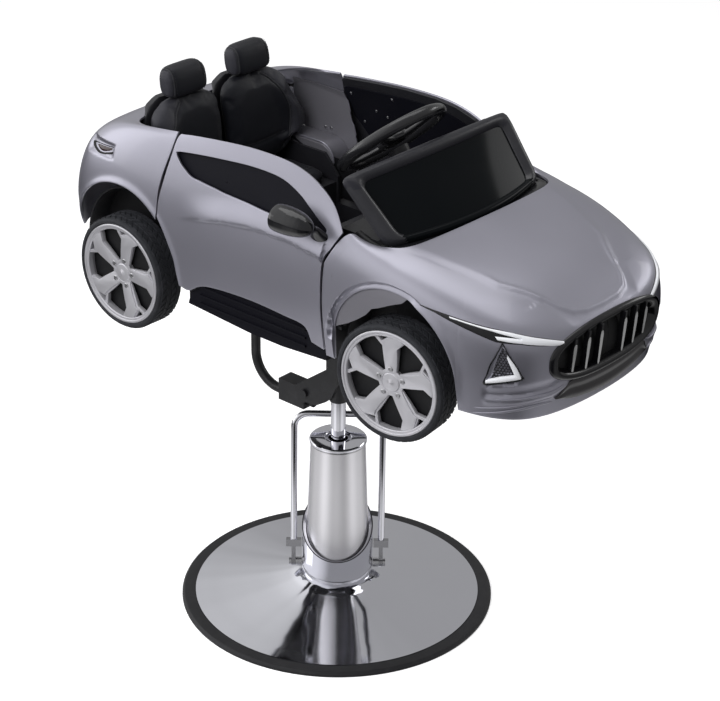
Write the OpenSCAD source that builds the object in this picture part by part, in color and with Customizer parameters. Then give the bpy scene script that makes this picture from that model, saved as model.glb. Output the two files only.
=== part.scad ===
// Styling chair for children: a small car body on a hydraulic pump base.
// Millimetres. The origin is on the floor under the pump, +Z is up and the car faces +X.

/* [Base and pump] */
// Diameter of the round base over its rubber ring
base_d = 620; // [580:10:660]
// Height of the rubber ring
ring_h = 10; // [8:1:13]
// Width of the rubber ring that shows round the dish
ring_w = 27; // [22:1:32]
// Wall of the pressed base dish
dish_t = 3; // [2:0.5:4]
// Height of the dish where it meets the pump
dish_h = 52; // [46:1:60]
// Outer diameter of the pump collar
collar_d = 142; // [136:1:150]
// Height of the collar's slanted rim at its low front
collar_front_z = 105; // [100:1:112]
// Height of the collar's slanted rim at its high back
collar_back_z = 198; // [180:1:205]
// Lower diameter of the tapered pump cover
cover_low_d = 129; // [124:1:131]
// Upper diameter of the tapered pump cover
cover_top_d = 108; // [104:1:112]
// Height of the top of the pump cover
cover_z = 343; // [335:1:350]
// Thickness of the cap on the pump cover
cap_t = 7; // [5:1:9]
// Diameter of the lifting ram
ram_d = 29; // [27:0.5:31]
// Turn of the pump base about the ram, seen from above
pump_turn = 41; // [0:1:60]

/* [Pump lever] */
// Distance between the two legs of the lever
lever_span = 174; // [170:1:178]
// Diameter of the lever tube
lever_tube_d = 13; // [11:0.5:14]
// Height of the lever's cross bar
lever_z = 374; // [366:1:376]
// How far the cross bar leans behind the pump
lever_lean = 50; // [44:1:58]
// Bend radius at the lever's corners
lever_bend_r = 28; // [22:1:34]
// Height of the lever pivot
pivot_z = 66; // [62:1:70]

/* [Cradle] */
// Height of the lower end of the ram socket
socket_z = 431; // [428:1:436]
// Outer diameter of the ram socket
socket_d = 35; // [34:0.5:36]
// Wall of the cheek plates
cheek_t = 6; // [5:0.5:7]
// Height of the underside of the chassis rail
rail_z = 640; // [635:1:642]
// Diameter of the bent brace tube
brace_d = 19; // [17:0.5:21]
// Distance of the brace's upright leg behind the ram
brace_x = 220; // [200:1:235]
// Height of the brace's lower run
brace_z = 402; // [400:1:405]
// Bend radius of the brace
brace_bend_r = 62; // [50:1:75]

/* [Car body] */
// Length of the car body
body_l = 1120; // [1100:2:1140]
// Width of the car body
body_w = 550; // [546:1:556]
// Height of the body shell from the sill line to the door tops
body_h = 350; // [346:1:354]
// Height of the sill line above the floor
body_z = 660; // [658:1:662]
// Distance of the body's middle ahead of the ram
body_x = 68; // [62:1:74]
// Wall of the body mouldings
skin_t = 4; // [3:0.5:5]
// Gap between body panels
panel_gap = 3; // [2:0.5:4]

/* [Wheels] */
// Diameter of the tyres
tyre_d = 220; // [212:1:224]
// Diameter of the rims
rim_d = 196; // [190:1:200]
// Width of the tyres
tyre_w = 60; // [54:1:62]
// Height of the wheel centres
wheel_z = 691.5; // [688:0.5:694]
// Distance of the rear axle behind the ram
rear_axle_x = 312; // [308:1:316]
// Distance of the front axle ahead of the ram
front_axle_x = 350; // [346:1:354]
// Distance of the wheels' outer faces from the middle of the car
wheel_face_y = 272; // [270:1:276]
// Diameter of the rear wheel arches
rear_arch_d = 276; // [270:1:280]
// Diameter of the front wheel arches
front_arch_d = 268; // [264:1:272]
// Diameter of the axles
axle_d = 10; // [8:0.5:12]
// Steering angle of the front wheels as the chair stands
rest_steer = 7.3; // [0:0.1:10]

/* [Cockpit] */
// Diameter of the steering wheel
steer_d = 222; // [210:2:240]
// Thickness of the steering wheel's rim
steer_rim_d = 22; // [18:1:26]
// Height of the tops of the headrests
headrest_z = 1062; // [1050:1:1070]
// Height of the seat cushion's top
seat_z = 815; // [800:1:825]
// Height of the windshield's top edge
screen_z = 1014; // [1005:1:1020]

/* [Hidden] */

paint = [0.56, 0.55, 0.60];
black_plastic = [0.06, 0.06, 0.07];
chrome = [0.80, 0.80, 0.82];
lamp_white = [0.9, 0.9, 0.92];
lamp_red = [0.5, 0.05, 0.05];

round_fn = 48;
fine_fn = 96;
bar_fn = 32;
// Depth by which a cut runs past the face it opens
cut_over = 1;
// Gap between seated pieces
seat_gap = 0.3;
// Running clearance of pins and shafts, on the radius
run_gap = 0.05;

// Shells and lofts
// A sheet joins two grids of points, one on each of its faces.
function flat_list(grid) = [for (row = grid) each row];
function sheet_faces(nr, nc, ring) =
    let (n = nr * nc, cols = ring ? nc : nc - 1)
    concat(
        [for (i = [0 : nr - 2]) for (j = [0 : cols - 1])
            let (a = i * nc + j, b = i * nc + (j + 1) % nc,
                c = (i + 1) * nc + (j + 1) % nc, d = (i + 1) * nc + j)
            each [[a, b, c], [a, c, d], [n + a, n + c, n + b], [n + a, n + d, n + c]]],
        [for (j = [0 : cols - 1]) let (a = j, b = (j + 1) % nc)
            each [[b, a, n + a], [b, n + a, n + b]]],
        [for (j = [0 : cols - 1]) let (p = (nr - 1) * nc + j, q = (nr - 1) * nc + (j + 1) % nc)
            each [[p, q, n + q], [p, n + q, n + p]]],
        ring ? [] : [for (i = [0 : nr - 2]) let (p = i * nc, q = (i + 1) * nc)
            each [[p, q, n + q], [p, n + q, n + p]]],
        ring ? [] : [for (i = [0 : nr - 2]) let (p = i * nc + nc - 1, q = (i + 1) * nc + nc - 1)
            each [[q, p, n + p], [q, n + p, n + q]]]);
function turned_faces(faces) = [for (f = faces) [f[2], f[1], f[0]]];
module sheet(outer, inner, ring = false, flip = true) {
    faces = sheet_faces(len(outer), len(outer[0]), ring);
    polyhedron(points = concat(flat_list(outer), flat_list(inner)),
        faces = flip ? turned_faces(faces) : faces);
}
// A loft joins closed rings of equal count, with a flat cap at each end.
module loft(rings, flip = false) {
    n = len(rings[0]);
    m = len(rings);
    sides = [for (i = [0 : m - 2]) for (j = [0 : n - 1])
        let (a = i * n + j, b = i * n + (j + 1) % n, c = b + n, d = a + n)
        each [[a, b, c], [a, c, d]]];
    caps = concat([for (j = [1 : n - 2]) [0, j + 1, j]],
        [for (j = [1 : n - 2]) [(m - 1) * n, (m - 1) * n + j, (m - 1) * n + j + 1]]);
    faces = concat(sides, caps);
    polyhedron(points = flat_list(rings), faces = flip ? turned_faces(faces) : faces);
}
function smooth(t) = let (c = max(0, min(1, t))) c * c * (3 - 2 * c);
function mix(a, b, t) = a + (b - a) * t;
module both_sides() {
    children();
    mirror([0, 1, 0]) children();
}

// Body surface
// Rails run from the tail's middle to the nose's middle, lowest first. Each point holds shares of
// the body's length from the tail, of its half width, and of its height above the sill line.
rail_shares = [
    [[0.009, 0, 0.234], [0.009, 0.473, 0.234], [0.020, 0.844, 0.234], [0.082, 0.909, 0.214],
        [0.198, 0.924, 0.149], [0.319, 0.909, 0.086], [0.439, 0.902, 0.074], [0.560, 0.909, 0.074],
        [0.680, 0.931, 0.080], [0.796, 0.931, 0.074], [0.886, 0.895, 0.051], [0.963, 0.713, 0.029],
        [0.980, 0.327, 0.017], [0.982, 0, 0.014]],
    [[-0.002, 0, 0.400], [-0.001, 0.509, 0.400], [0.013, 0.891, 0.394], [0.082, 0.975, 0.389],
        [0.198, 0.993, 0.377], [0.319, 0.953, 0.360], [0.439, 0.945, 0.354], [0.560, 0.960, 0.354],
        [0.680, 0.996, 0.360], [0.796, 1.000, 0.349], [0.890, 0.931, 0.326], [0.975, 0.756, 0.303],
        [0.999, 0.382, 0.286], [1.000, 0, 0.280]],
    [[0.002, 0, 0.594], [0.004, 0.502, 0.594], [0.020, 0.858, 0.594], [0.086, 0.945, 0.629],
        [0.198, 0.960, 0.629], [0.319, 0.935, 0.606], [0.439, 0.924, 0.600], [0.560, 0.931, 0.600],
        [0.680, 0.975, 0.606], [0.796, 0.982, 0.577], [0.888, 0.909, 0.520], [0.964, 0.745, 0.474],
        [0.992, 0.382, 0.449], [0.994, 0, 0.440]],
    [[0.016, 0, 0.737], [0.021, 0.480, 0.743], [0.043, 0.807, 0.760], [0.096, 0.884, 0.806],
        [0.198, 0.895, 0.814], [0.319, 0.873, 0.786], [0.439, 0.865, 0.777], [0.560, 0.873, 0.760],
        [0.676, 0.924, 0.720], [0.789, 0.924, 0.666], [0.877, 0.844, 0.583], [0.944, 0.676, 0.526],
        [0.971, 0.345, 0.497], [0.975, 0, 0.489]],
    [[0.064, 0, 0.846], [0.070, 0.429, 0.851], [0.087, 0.727, 0.863], [0.125, 0.815, 0.897],
        [0.205, 0.833, 0.929], [0.319, 0.829, 0.890], [0.439, 0.818, 0.905], [0.570, 0.829, 0.885],
        [0.658, 0.869, 0.725], [0.754, 0.778, 0.726], [0.814, 0.673, 0.686], [0.859, 0.509, 0.657],
        [0.884, 0.262, 0.640], [0.890, 0, 0.634]],
    [[0.125, 0, 0.886], [0.127, 0.400, 0.889], [0.138, 0.673, 0.894], [0.164, 0.778, 0.906],
        [0.216, 0.807, 0.931], [0.319, 0.789, 0.970], [0.439, 0.775, 1.006], [0.578, 0.789, 0.990],
        [0.643, 0.840, 0.703], [0.734, 0.800, 0.734], [0.739, 0.582, 0.729], [0.741, 0.345, 0.729],
        [0.743, 0.164, 0.731], [0.744, 0, 0.734]]];
function place(s) = [body_x + body_l * (s[0] - 1 / 2), body_w / 2 * s[1], body_z + body_h * s[2]];
function across(p) = [p[0], -p[1], p[2]];
function wide(r) = concat([across(r[1])], r, [across(r[len(r) - 2])]);
rails = [for (r = rail_shares) wide([for (s = r) place(s)])];
last_rail = len(rails) - 1;
last_station = len(rail_shares[0]) - 1;
net = concat([2 * rails[0] - rails[1]], rails, [2 * rails[last_rail] - rails[last_rail - 1]]);
function blend(t) = [pow(1 - t, 3), 3 * pow(t, 3) - 6 * pow(t, 2) + 4,
    -3 * pow(t, 3) + 3 * pow(t, 2) + 3 * t + 1, pow(t, 3)] / 6;
function skin(u, v) =
    let (i = max(0, min(floor(u), last_station - 1)), j = max(0, min(floor(v), last_rail - 1)),
        a = blend(u - i), b = blend(v - j))
    b * [for (q = [0 : 3]) a * [for (p = [0 : 3]) net[j + q][i + p]]];
function unit(p) = p / norm(p);
// Outward normal of the body surface
function facing(u, v) =
    let (e = 0.02, uc = max(e, min(last_station - e, u)), vc = max(e, min(last_rail - e, v)))
    unit(cross(skin(uc, vc + e) - skin(uc, vc - e), skin(uc + e, vc) - skin(uc - e, vc)));
function u_at_x(x, v, lo = 0, hi = last_station, n = 16) =
    let (m = (lo + hi) / 2)
    n == 0 ? m : skin(m, v)[0] < x ? u_at_x(x, v, m, hi, n - 1) : u_at_x(x, v, lo, m, n - 1);
function v_at_z(z, u, lo = 0, hi = last_rail, n = 16) =
    let (m = (lo + hi) / 2)
    n == 0 ? m : skin(m == 0 ? 0 : u, m)[2] < z ? v_at_z(z, u, m, hi, n - 1) : v_at_z(z, u, lo, m, n - 1);
function side_uv(x, z) =
    let (u0 = u_at_x(x, last_rail / 2), v0 = v_at_z(z, u0), u1 = u_at_x(x, v0), v1 = v_at_z(z, u1))
    [u1, v1];
function side_y(x, z) = let (q = side_uv(x, z)) skin(q[0], q[1])[1];

// Wheel arches and door seams
arch_rise_share = 0.36;
rear_arch_z = wheel_z + tyre_d / 2 * arch_rise_share;
front_arch_z = wheel_z + tyre_d / 2 * arch_rise_share * 0.9;
rear_arch_r = rear_arch_d / 2;
front_arch_r = front_arch_d / 2;
door_front_x = body_x + body_l * 0.111;
door_tip_x = body_x + body_l * 0.141;
door_rear_x = body_x - body_l * 0.252;
door_rear_top_x = body_x - body_l * 0.235;
belt_z = body_z + body_h * 0.592;
rim_top_z = body_z + body_h * 0.96;
function in_arch(p, x, z, r) = pow(p[0] - x, 2) + pow(p[2] - z, 2) < r * r;
function arch_v(u, x, z, r, lo = 0, hi = last_rail / 2, n = 14) =
    let (m = (lo + hi) / 2)
    n == 0 ? (hi < 0.002 ? 0 : m) : in_arch(skin(u, m), x, z, r) ?
        arch_v(u, x, z, r, m, hi, n - 1) : arch_v(u, x, z, r, lo, m, n - 1);
function rear_low_v(u) = arch_v(u, -rear_axle_x, rear_arch_z, rear_arch_r);
function front_low_v(u) = arch_v(u, front_axle_x, front_arch_z, front_arch_r);
function front_seam_x(z) =
    z < belt_z ? door_front_x : mix(door_front_x, door_tip_x, (z - belt_z) / (body_h * 0.18));
function rear_seam_x(z) = mix(door_rear_x, door_rear_top_x, smooth((z - belt_z) / (rim_top_z - belt_z)));

row_n = 11;
row_shares = [for (j = [0 : row_n]) j / row_n];
tail_columns = 6;
arch_columns = 10;
nose_columns = 11;
rear_end_x = -rear_axle_x - rear_arch_r - panel_gap / 2;
front_end_x = front_axle_x + front_arch_r + panel_gap / 2;
rear_arch_stop = acos((rear_axle_x + door_rear_x) / rear_arch_r);
rear_columns = concat(
    [for (i = [0 : tail_columns]) u_at_x(rear_end_x, 0) * i / tail_columns],
    [for (i = [0 : arch_columns])
        u_at_x(-rear_axle_x + rear_arch_r * cos(mix(178, rear_arch_stop, i / arch_columns)), 1)]);
front_columns = concat(
    [u_at_x(door_front_x + panel_gap, 0), u_at_x(front_axle_x - front_arch_r - panel_gap / 2, 0)],
    [for (i = [0 : arch_columns])
        u_at_x(front_axle_x - front_arch_r * cos(mix(2, 178, i / arch_columns)), 1)],
    [for (i = [0 : nose_columns])
        mix(u_at_x(front_end_x, 0), last_station, i / nose_columns)]);
rear_seam_u = rear_columns[len(rear_columns) - 1];
function rear_u(u, v) =
    let (z = skin(u, v)[2], s = u_at_x(rear_seam_x(z) - panel_gap, v))
    u * s / rear_seam_u;
function front_u(u, v) =
    let (z = skin(front_columns[0], v)[2], s = u_at_x(front_seam_x(z) + panel_gap, v))
    s + (u - front_columns[0]) * (last_station - s) / (last_station - front_columns[0]);
// One column of a shell: places and depths along it, on the right (-1) or left (1) side
function to_side(p, side) = [p[0], side * p[1], p[2]];
function rear_column(u, side, depth) =
    let (lo = rear_low_v(u))
    [for (t = row_shares) let (v = mix(lo, last_rail, t), w = rear_u(u, v))
        to_side(skin(w, v) - depth * facing(w, v), side)];
function front_column(u, side, depth) =
    let (lo = front_low_v(u))
    [for (t = row_shares) let (v = mix(lo, last_rail, t), w = front_u(u, v))
        to_side(skin(w, v) - depth * facing(w, v), side)];
function columns_to_rows(cols) = [for (j = [0 : len(cols[0]) - 1]) [for (c = cols) c[j]]];
function rear_grid(depth) = columns_to_rows(concat(
    [for (i = [len(rear_columns) - 1 : -1 : 1]) rear_column(rear_columns[i], 1, depth)],
    [for (u = rear_columns) rear_column(u, -1, depth)]));
function front_grid(depth) = columns_to_rows(concat(
    [for (u = front_columns) front_column(u, -1, depth)],
    [for (i = [len(front_columns) - 2 : -1 : 0]) front_column(front_columns[i], 1, depth)]));

module rear_shell() color(paint) sheet(rear_grid(0), rear_grid(skin_t));
module front_shell() color(paint) sheet(front_grid(0), front_grid(skin_t));

// Base and pump
base_r = base_d / 2;
dish_r = base_r - ring_w;
dish_rest_z = ring_h * 0.8;
collar_r = collar_d / 2;
shelf_out_r = collar_r + dish_t;
shelf_in_r = collar_r * 0.72;
foot_r = collar_r * 0.66;
foot_h = ring_h;
cylinder_r = ram_d * 1.1;
cylinder_bore_r = ram_d * 0.9;
cylinder_floor_z = dish_h;
cylinder_top_z = cover_z - ram_d * 0.62;
flange_r = collar_r * 0.8;
flange_h = dish_t * 2;
cover_wall = dish_t * 0.8;
cap_r = cover_top_d / 2 + cover_wall;
cap_hole_r = ram_d * 0.67;
ram_r = ram_d / 2;
gland_h = ram_d * 0.7;
gland_flange_h = ram_d * 0.2;

module base_ring() color(black_plastic) rotate_extrude($fn = fine_fn)
    polygon([[dish_r - ring_w / 2, 0], [base_r, 0], [base_r, ring_h * 0.65],
        [base_r - ring_h * 0.35, ring_h], [dish_r + seat_gap, ring_h],
        [dish_r + seat_gap, dish_rest_z - seat_gap], [dish_r - ring_w / 2, dish_rest_z - seat_gap]]);

module base_plate() color(chrome) rotate_extrude($fn = fine_fn)
    polygon([[shelf_in_r, dish_h - dish_t], [shelf_out_r, dish_h - dish_t], [dish_r, dish_rest_z],
        [dish_r, dish_rest_z + dish_t], [shelf_out_r, dish_h], [shelf_in_r, dish_h]]);

rim_rise = collar_back_z - collar_front_z;
rim_slope = atan(rim_rise / collar_d);
module pump_collar() color(chrome) rotate([0, 0, pump_turn]) difference() {
    translate([0, 0, dish_h + seat_gap])
        cylinder(r = collar_r, h = collar_back_z - dish_h, $fn = fine_fn);
    translate([0, 0, dish_h])
        cylinder(r = collar_r - dish_t, h = collar_back_z, $fn = fine_fn);
    translate([0, 0, collar_front_z + rim_rise / 2]) rotate([rim_slope, 0, 0])
        translate([-collar_d, -collar_d, 0]) cube([2 * collar_d, 2 * collar_d, collar_d]);
}

module pump_cylinder() color(chrome) difference() {
    union() {
        cylinder(r = cylinder_r, h = cylinder_top_z, $fn = round_fn);
        cylinder(r = foot_r, h = foot_h, $fn = round_fn);
        translate([0, 0, dish_h - dish_t - seat_gap - flange_h])
            cylinder(r = flange_r, h = flange_h, $fn = round_fn);
    }
    translate([0, 0, cylinder_floor_z])
        cylinder(r = cylinder_bore_r, h = cylinder_top_z, $fn = round_fn);
}

module gland_bush() color(chrome) difference() {
    union() {
        translate([0, 0, cylinder_top_z + seat_gap])
            cylinder(r = cylinder_r, h = gland_flange_h, $fn = round_fn);
        translate([0, 0, cylinder_top_z - gland_h])
            cylinder(r = cylinder_bore_r - run_gap, h = gland_h + gland_flange_h, $fn = round_fn);
    }
    cylinder(r = ram_r + run_gap, h = cover_z + cap_t, $fn = round_fn);
}

cover_base_z = dish_h + seat_gap;
cover_h = cover_z - cover_base_z;
module pump_cover() color(chrome) translate([0, 0, cover_base_z]) difference() {
    cylinder(r1 = cover_low_d / 2, r2 = cover_top_d / 2, h = cover_h, $fn = fine_fn);
    translate([0, 0, -cut_over]) cylinder(r1 = cover_low_d / 2 - cover_wall,
        r2 = cover_top_d / 2 - cover_wall, h = cover_h + 2 * cut_over, $fn = fine_fn);
}

module cover_cap() color(chrome) difference() {
    translate([0, 0, cover_z + seat_gap]) rotate_extrude($fn = fine_fn)
        polygon([[0, 0], [cap_r, 0], [cap_r, cap_t * 0.7], [cap_r - cap_t * 0.3, cap_t], [0, cap_t]]);
    translate([0, 0, cover_z]) cylinder(r = cap_hole_r, h = 2 * cap_t, $fn = round_fn);
}

// Pump lever
lever_r = lever_tube_d / 2;
leg_x = lever_span / 2;
pin_r = lever_tube_d * 0.385;
boss_r = lever_tube_d * 0.7;
eye_t = lever_tube_d * 0.62;
lever_rise = lever_z - pivot_z;
lever_angle = atan(lever_lean / lever_rise);
lever_len = norm([lever_lean, lever_rise]);
clamp_z = lever_tube_d * 2.6;
clamp_h = lever_tube_d * 1.1;
clamp_floor = lever_tube_d * 0.16;
clamp_in_x = collar_r + cut_over;
clamp_out_x = leg_x + lever_tube_d * 1.15;
eye_in_x = leg_x - eye_t / 2;
eye_out_x = leg_x + eye_t / 2;

module pump_frame() rotate([0, 0, pump_turn]) children();
module lever_frame() pump_frame() translate([0, 0, pivot_z]) rotate([-lever_angle, 0, 0]) children();
module both_ends() {
    children();
    mirror([1, 0, 0]) children();
}
module along_x(x0, x1, r) translate([x0, 0, 0]) rotate([0, 90, 0])
    cylinder(r = r, h = x1 - x0, $fn = round_fn);

module lever_pivots() color(chrome) pump_frame() translate([0, 0, pivot_z]) both_ends() {
    along_x(collar_r + seat_gap, eye_in_x - seat_gap, boss_r);
    along_x(collar_r + seat_gap, eye_out_x + seat_gap, pin_r);
    along_x(eye_out_x + seat_gap, eye_out_x + pin_r, pin_r * 1.6);
}

module lever_clamps() color(chrome) lever_frame() both_ends() difference() {
    union() {
        along_x(eye_in_x, eye_out_x, boss_r);
        translate([eye_in_x, -lever_r, 0]) cube([eye_t, lever_tube_d, clamp_z + clamp_floor]);
        translate([clamp_in_x, -clamp_h / 2, clamp_z])
            cube([clamp_out_x - clamp_in_x, clamp_h, clamp_h]);
    }
    along_x(eye_in_x - cut_over, eye_out_x + cut_over, pin_r + run_gap);
    translate([leg_x, 0, clamp_z + clamp_floor])
        cylinder(r = lever_r + run_gap, h = lever_len, $fn = round_fn);
}

module lever_bar() color(chrome) lever_frame() {
    both_ends() {
        translate([leg_x, 0, clamp_z + clamp_floor + seat_gap])
            cylinder(r = lever_r, h = lever_len - lever_bend_r - clamp_z - clamp_floor - seat_gap,
                $fn = round_fn);
        translate([leg_x - lever_bend_r, 0, lever_len - lever_bend_r]) rotate([90, 0, 0])
            rotate_extrude(angle = 90, $fn = fine_fn) translate([lever_bend_r, 0])
                circle(r = lever_r, $fn = bar_fn);
    }
    translate([0, 0, lever_len]) along_x(lever_bend_r - leg_x, leg_x - lever_bend_r, lever_r);
}

// Lifting ram
head_z = dish_h + ram_d * 0.62;
head_h = ram_d * 0.69;
rod_top_z = mix(socket_z, rail_z, 0.52);
module piston_head() color(chrome) translate([0, 0, head_z])
    cylinder(r = cylinder_bore_r - run_gap, h = head_h, $fn = round_fn);
module piston_rod() color(chrome) translate([0, 0, head_z + head_h + seat_gap])
    cylinder(r = ram_r, h = rod_top_z - head_z - head_h - seat_gap, $fn = round_fn);

// Cradle
socket_r = socket_d / 2;
cheek_in_y = socket_r + seat_gap * 2;
cheek_out_y = cheek_in_y + cheek_t;
cradle_h = rail_z - socket_z;
// Cheek plate seen from the side, in shares of the cradle's height from the ram's lower socket end
cheek_shares = [[-0.057, 1], [-0.057, 0.722], [-0.053, 0.335], [-0.474, 0.019], [-0.392, -0.139],
    [-0.311, -0.091], [-0.182, -0.081], [-0.062, -0.005], [0.010, 0.057], [0.081, 0.225], [0.086, 1]];
web_in_share = -0.053;
web_out_share = 0.081;
clamp_bolt_share = [-0.32, 0];
module upright(y0, y1) translate([0, y1, 0]) rotate([90, 0, 0]) linear_extrude(y1 - y0) children();
module cradle_cheeks() color(black_plastic) both_sides() upright(cheek_in_y, cheek_out_y)
    difference() {
        translate([0, socket_z]) polygon([for (s = cheek_shares)
            [s[0] * cradle_h, min(s[1] * cradle_h, cradle_h - seat_gap)]]);
        translate([clamp_bolt_share[0] * cradle_h, socket_z]) circle(r = pin_r + run_gap, $fn = round_fn);
    }

web_t = ram_r;
module web_block(z0, h) translate([web_in_share * cradle_h, seat_gap - cheek_in_y, z0])
    cube([(web_out_share - web_in_share) * cradle_h, 2 * (cheek_in_y - seat_gap), h]);
module rod_socket() color(black_plastic) difference() {
    union() {
        translate([0, 0, socket_z])
            cylinder(r = socket_r, h = rod_top_z + web_t - socket_z, $fn = round_fn);
        web_block(rod_top_z + seat_gap, web_t);
        web_block(mix(socket_z, rod_top_z, 0.6), web_t * 0.7);
    }
    translate([0, 0, socket_z - cut_over])
        cylinder(r = ram_r + run_gap, h = rod_top_z + seat_gap - socket_z + cut_over, $fn = round_fn);
}

brace_r = brace_d / 2;
brace_end_x = -cradle_h * 0.3;
module cradle_brace() color(black_plastic) {
    translate([-brace_x, 0, brace_z + brace_bend_r])
        cylinder(r = brace_r, h = rail_z - seat_gap - brace_z - brace_bend_r, $fn = round_fn);
    translate([brace_bend_r - brace_x, 0, brace_z + brace_bend_r]) rotate([90, 0, 0])
        rotate([0, 0, 180]) rotate_extrude(angle = 90, $fn = fine_fn)
            translate([brace_bend_r, 0]) circle(r = brace_r, $fn = bar_fn);
    translate([0, 0, brace_z]) along_x(brace_bend_r - brace_x, brace_end_x, brace_r);
}

clamp_box_share = [-0.68, -0.36];
clamp_low_z = brace_z - brace_r * 1.3;
clamp_high_z = socket_z + pin_r;
module brace_clamp() color(black_plastic) {
    difference() {
        translate([clamp_box_share[0] * cradle_h, seat_gap - cheek_in_y, clamp_low_z])
            cube([(clamp_box_share[1] - clamp_box_share[0]) * cradle_h, 2 * (cheek_in_y - seat_gap),
                clamp_high_z - clamp_low_z]);
        translate([0, 0, brace_z]) along_x(-brace_x, 0, brace_r + run_gap);
    }
    translate([clamp_bolt_share[0] * cradle_h, 0, socket_z]) rotate([90, 0, 0]) {
        translate([0, 0, -cheek_out_y - seat_gap])
            cylinder(r = pin_r, h = 2 * (cheek_out_y + seat_gap), $fn = round_fn);
        for (e = [cheek_out_y + seat_gap, -cheek_out_y - seat_gap - pin_r]) translate([0, 0, e])
            cylinder(r = pin_r * 1.6, h = pin_r, $fn = round_fn);
    }
}

// Chassis
axle_r = axle_d / 2;
rail_half_w = body_w * 0.127;
rail_wall = cheek_t * 0.67;
rail_top_z = body_z + ring_h;
tub_low_z = rail_top_z + seat_gap;
rail_back_x = -rear_axle_x - tyre_w * 0.55;
bearing_w = tyre_w / 3;
beam_w = tyre_w / 3;
kingpin_y = wheel_face_y - tyre_w * 0.77;
kingpin_offset = wheel_face_y - tyre_w / 2 - kingpin_y;
kingpin_x = front_axle_x - kingpin_offset * sin(rest_steer);
lug_t = axle_d;
function u_at_y(y, v, lo = last_station / 2, hi = last_station, n = 16) =
    let (m = (lo + hi) / 2)
    n == 0 ? m : skin(m, v)[1] > y ? u_at_y(y, v, m, hi, n - 1) : u_at_y(y, v, lo, m, n - 1);
function nose_uv(y, z) =
    let (u0 = u_at_y(y, 1), v0 = v_at_z(z, u0, 0, last_rail * 0.7), u1 = u_at_y(y, v0),
        v1 = v_at_z(z, u1, 0, last_rail * 0.7), u2 = u_at_y(y, v1), v2 = v_at_z(z, u2, 0, last_rail * 0.7))
    [u2, v2];
rail_front_x = front_axle_x + tyre_w;
strut_half_w = rail_half_w * 0.4;
strut_h = bearing_w * 0.7;
strut_front_x = nose_point(strut_half_w, rail_top_z - rail_wall, -skin_t - 2 * seat_gap)[0];
module chassis_rail() color(black_plastic) difference() {
    union() {
        difference() {
            translate([rail_back_x, -rail_half_w, rail_z])
                cube([rail_front_x - rail_back_x, 2 * rail_half_w, rail_top_z - rail_z]);
            translate([rail_back_x - cut_over, rail_wall - rail_half_w, rail_z + rail_wall])
                cube([rail_front_x - rail_back_x + 2 * cut_over, 2 * (rail_half_w - rail_wall),
                    rail_top_z - rail_z - 2 * rail_wall]);
        }
        both_sides()
            translate([-rear_axle_x - bearing_w / 2, rail_half_w - bearing_w, rail_top_z - rail_wall])
            cube([bearing_w, bearing_w, wheel_z + axle_d - rail_top_z + rail_wall]);
        translate([rail_front_x - bearing_w, -strut_half_w, rail_top_z - rail_wall])
            cube([strut_front_x - rail_front_x + bearing_w, 2 * strut_half_w, strut_h]);
    }
    translate([-rear_axle_x, rail_half_w + cut_over, wheel_z]) rotate([90, 0, 0])
        cylinder(r = axle_r + run_gap, h = 2 * (rail_half_w + cut_over), $fn = round_fn);
}

// Tub seen from the side, in shares of the body's length and height from its middle and sill line
tub_top_z = skin(0, last_rail)[2] - skin_t - 3 * seat_gap;
function side_place(s) = [body_x + body_l * s[0], body_z + body_h * s[1]];
tub_shares = [[-0.376, 0.35], [-0.211, 0.35], [-0.211, 0], [0.198, 0], [0.198, 0.643], [0.186, 0.643],
    [0.186, 0.54], [0.122, 0.54], [0.118, 0.243], [-0.200, 0.243], [-0.202, 0.4],
    [-0.234, 0.515]];
tub_half_w = body_w * 0.32;
tub_wall = cheek_t;
tub_points = [for (s = tub_shares) let (p = side_place(s)) [p[0], max(p[1], tub_low_z)]];
tub_back_x = tub_points[0][0];
tub_step_x = tub_points[1][0];
tub_step_z = tub_points[1][1];
tub_front_x = tub_points[3][0];
sill_top_z = tub_points[8][1];
sill_out_y = body_w * 0.422;
sill_front_x = body_x + body_l * 0.113;
sill_back_x = body_x - body_l * 0.208;
module chassis_tub() color(black_plastic) {
    difference() {
        upright(-tub_half_w, tub_half_w) polygon(concat(tub_points,
            [[tub_back_x + tub_wall, tub_points[11][1]], [tub_back_x + tub_wall, tub_top_z],
                [tub_back_x, tub_top_z]]));
        upright(tub_wall - tub_half_w, tub_half_w - tub_wall)
            polygon([[tub_back_x + tub_wall, tub_step_z + tub_wall],
                [tub_step_x + tub_wall, tub_step_z + tub_wall],
                [tub_step_x + tub_wall, tub_low_z + tub_wall],
                [tub_front_x - tub_wall, tub_low_z + tub_wall],
                [tub_front_x - tub_wall, tub_top_z + cut_over],
                [tub_back_x + tub_wall, tub_top_z + cut_over]]);
    }
    both_sides() difference() {
        translate([sill_back_x, tub_half_w - tub_wall, tub_low_z])
            cube([sill_front_x - sill_back_x, sill_out_y - tub_half_w + tub_wall, sill_top_z - tub_low_z]);
        translate([sill_back_x + tub_wall, tub_half_w, tub_low_z - cut_over])
            cube([sill_front_x - sill_back_x - 2 * tub_wall, sill_out_y - tub_half_w - tub_wall,
                sill_top_z - tub_low_z - tub_wall + cut_over]);
    }
}

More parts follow.
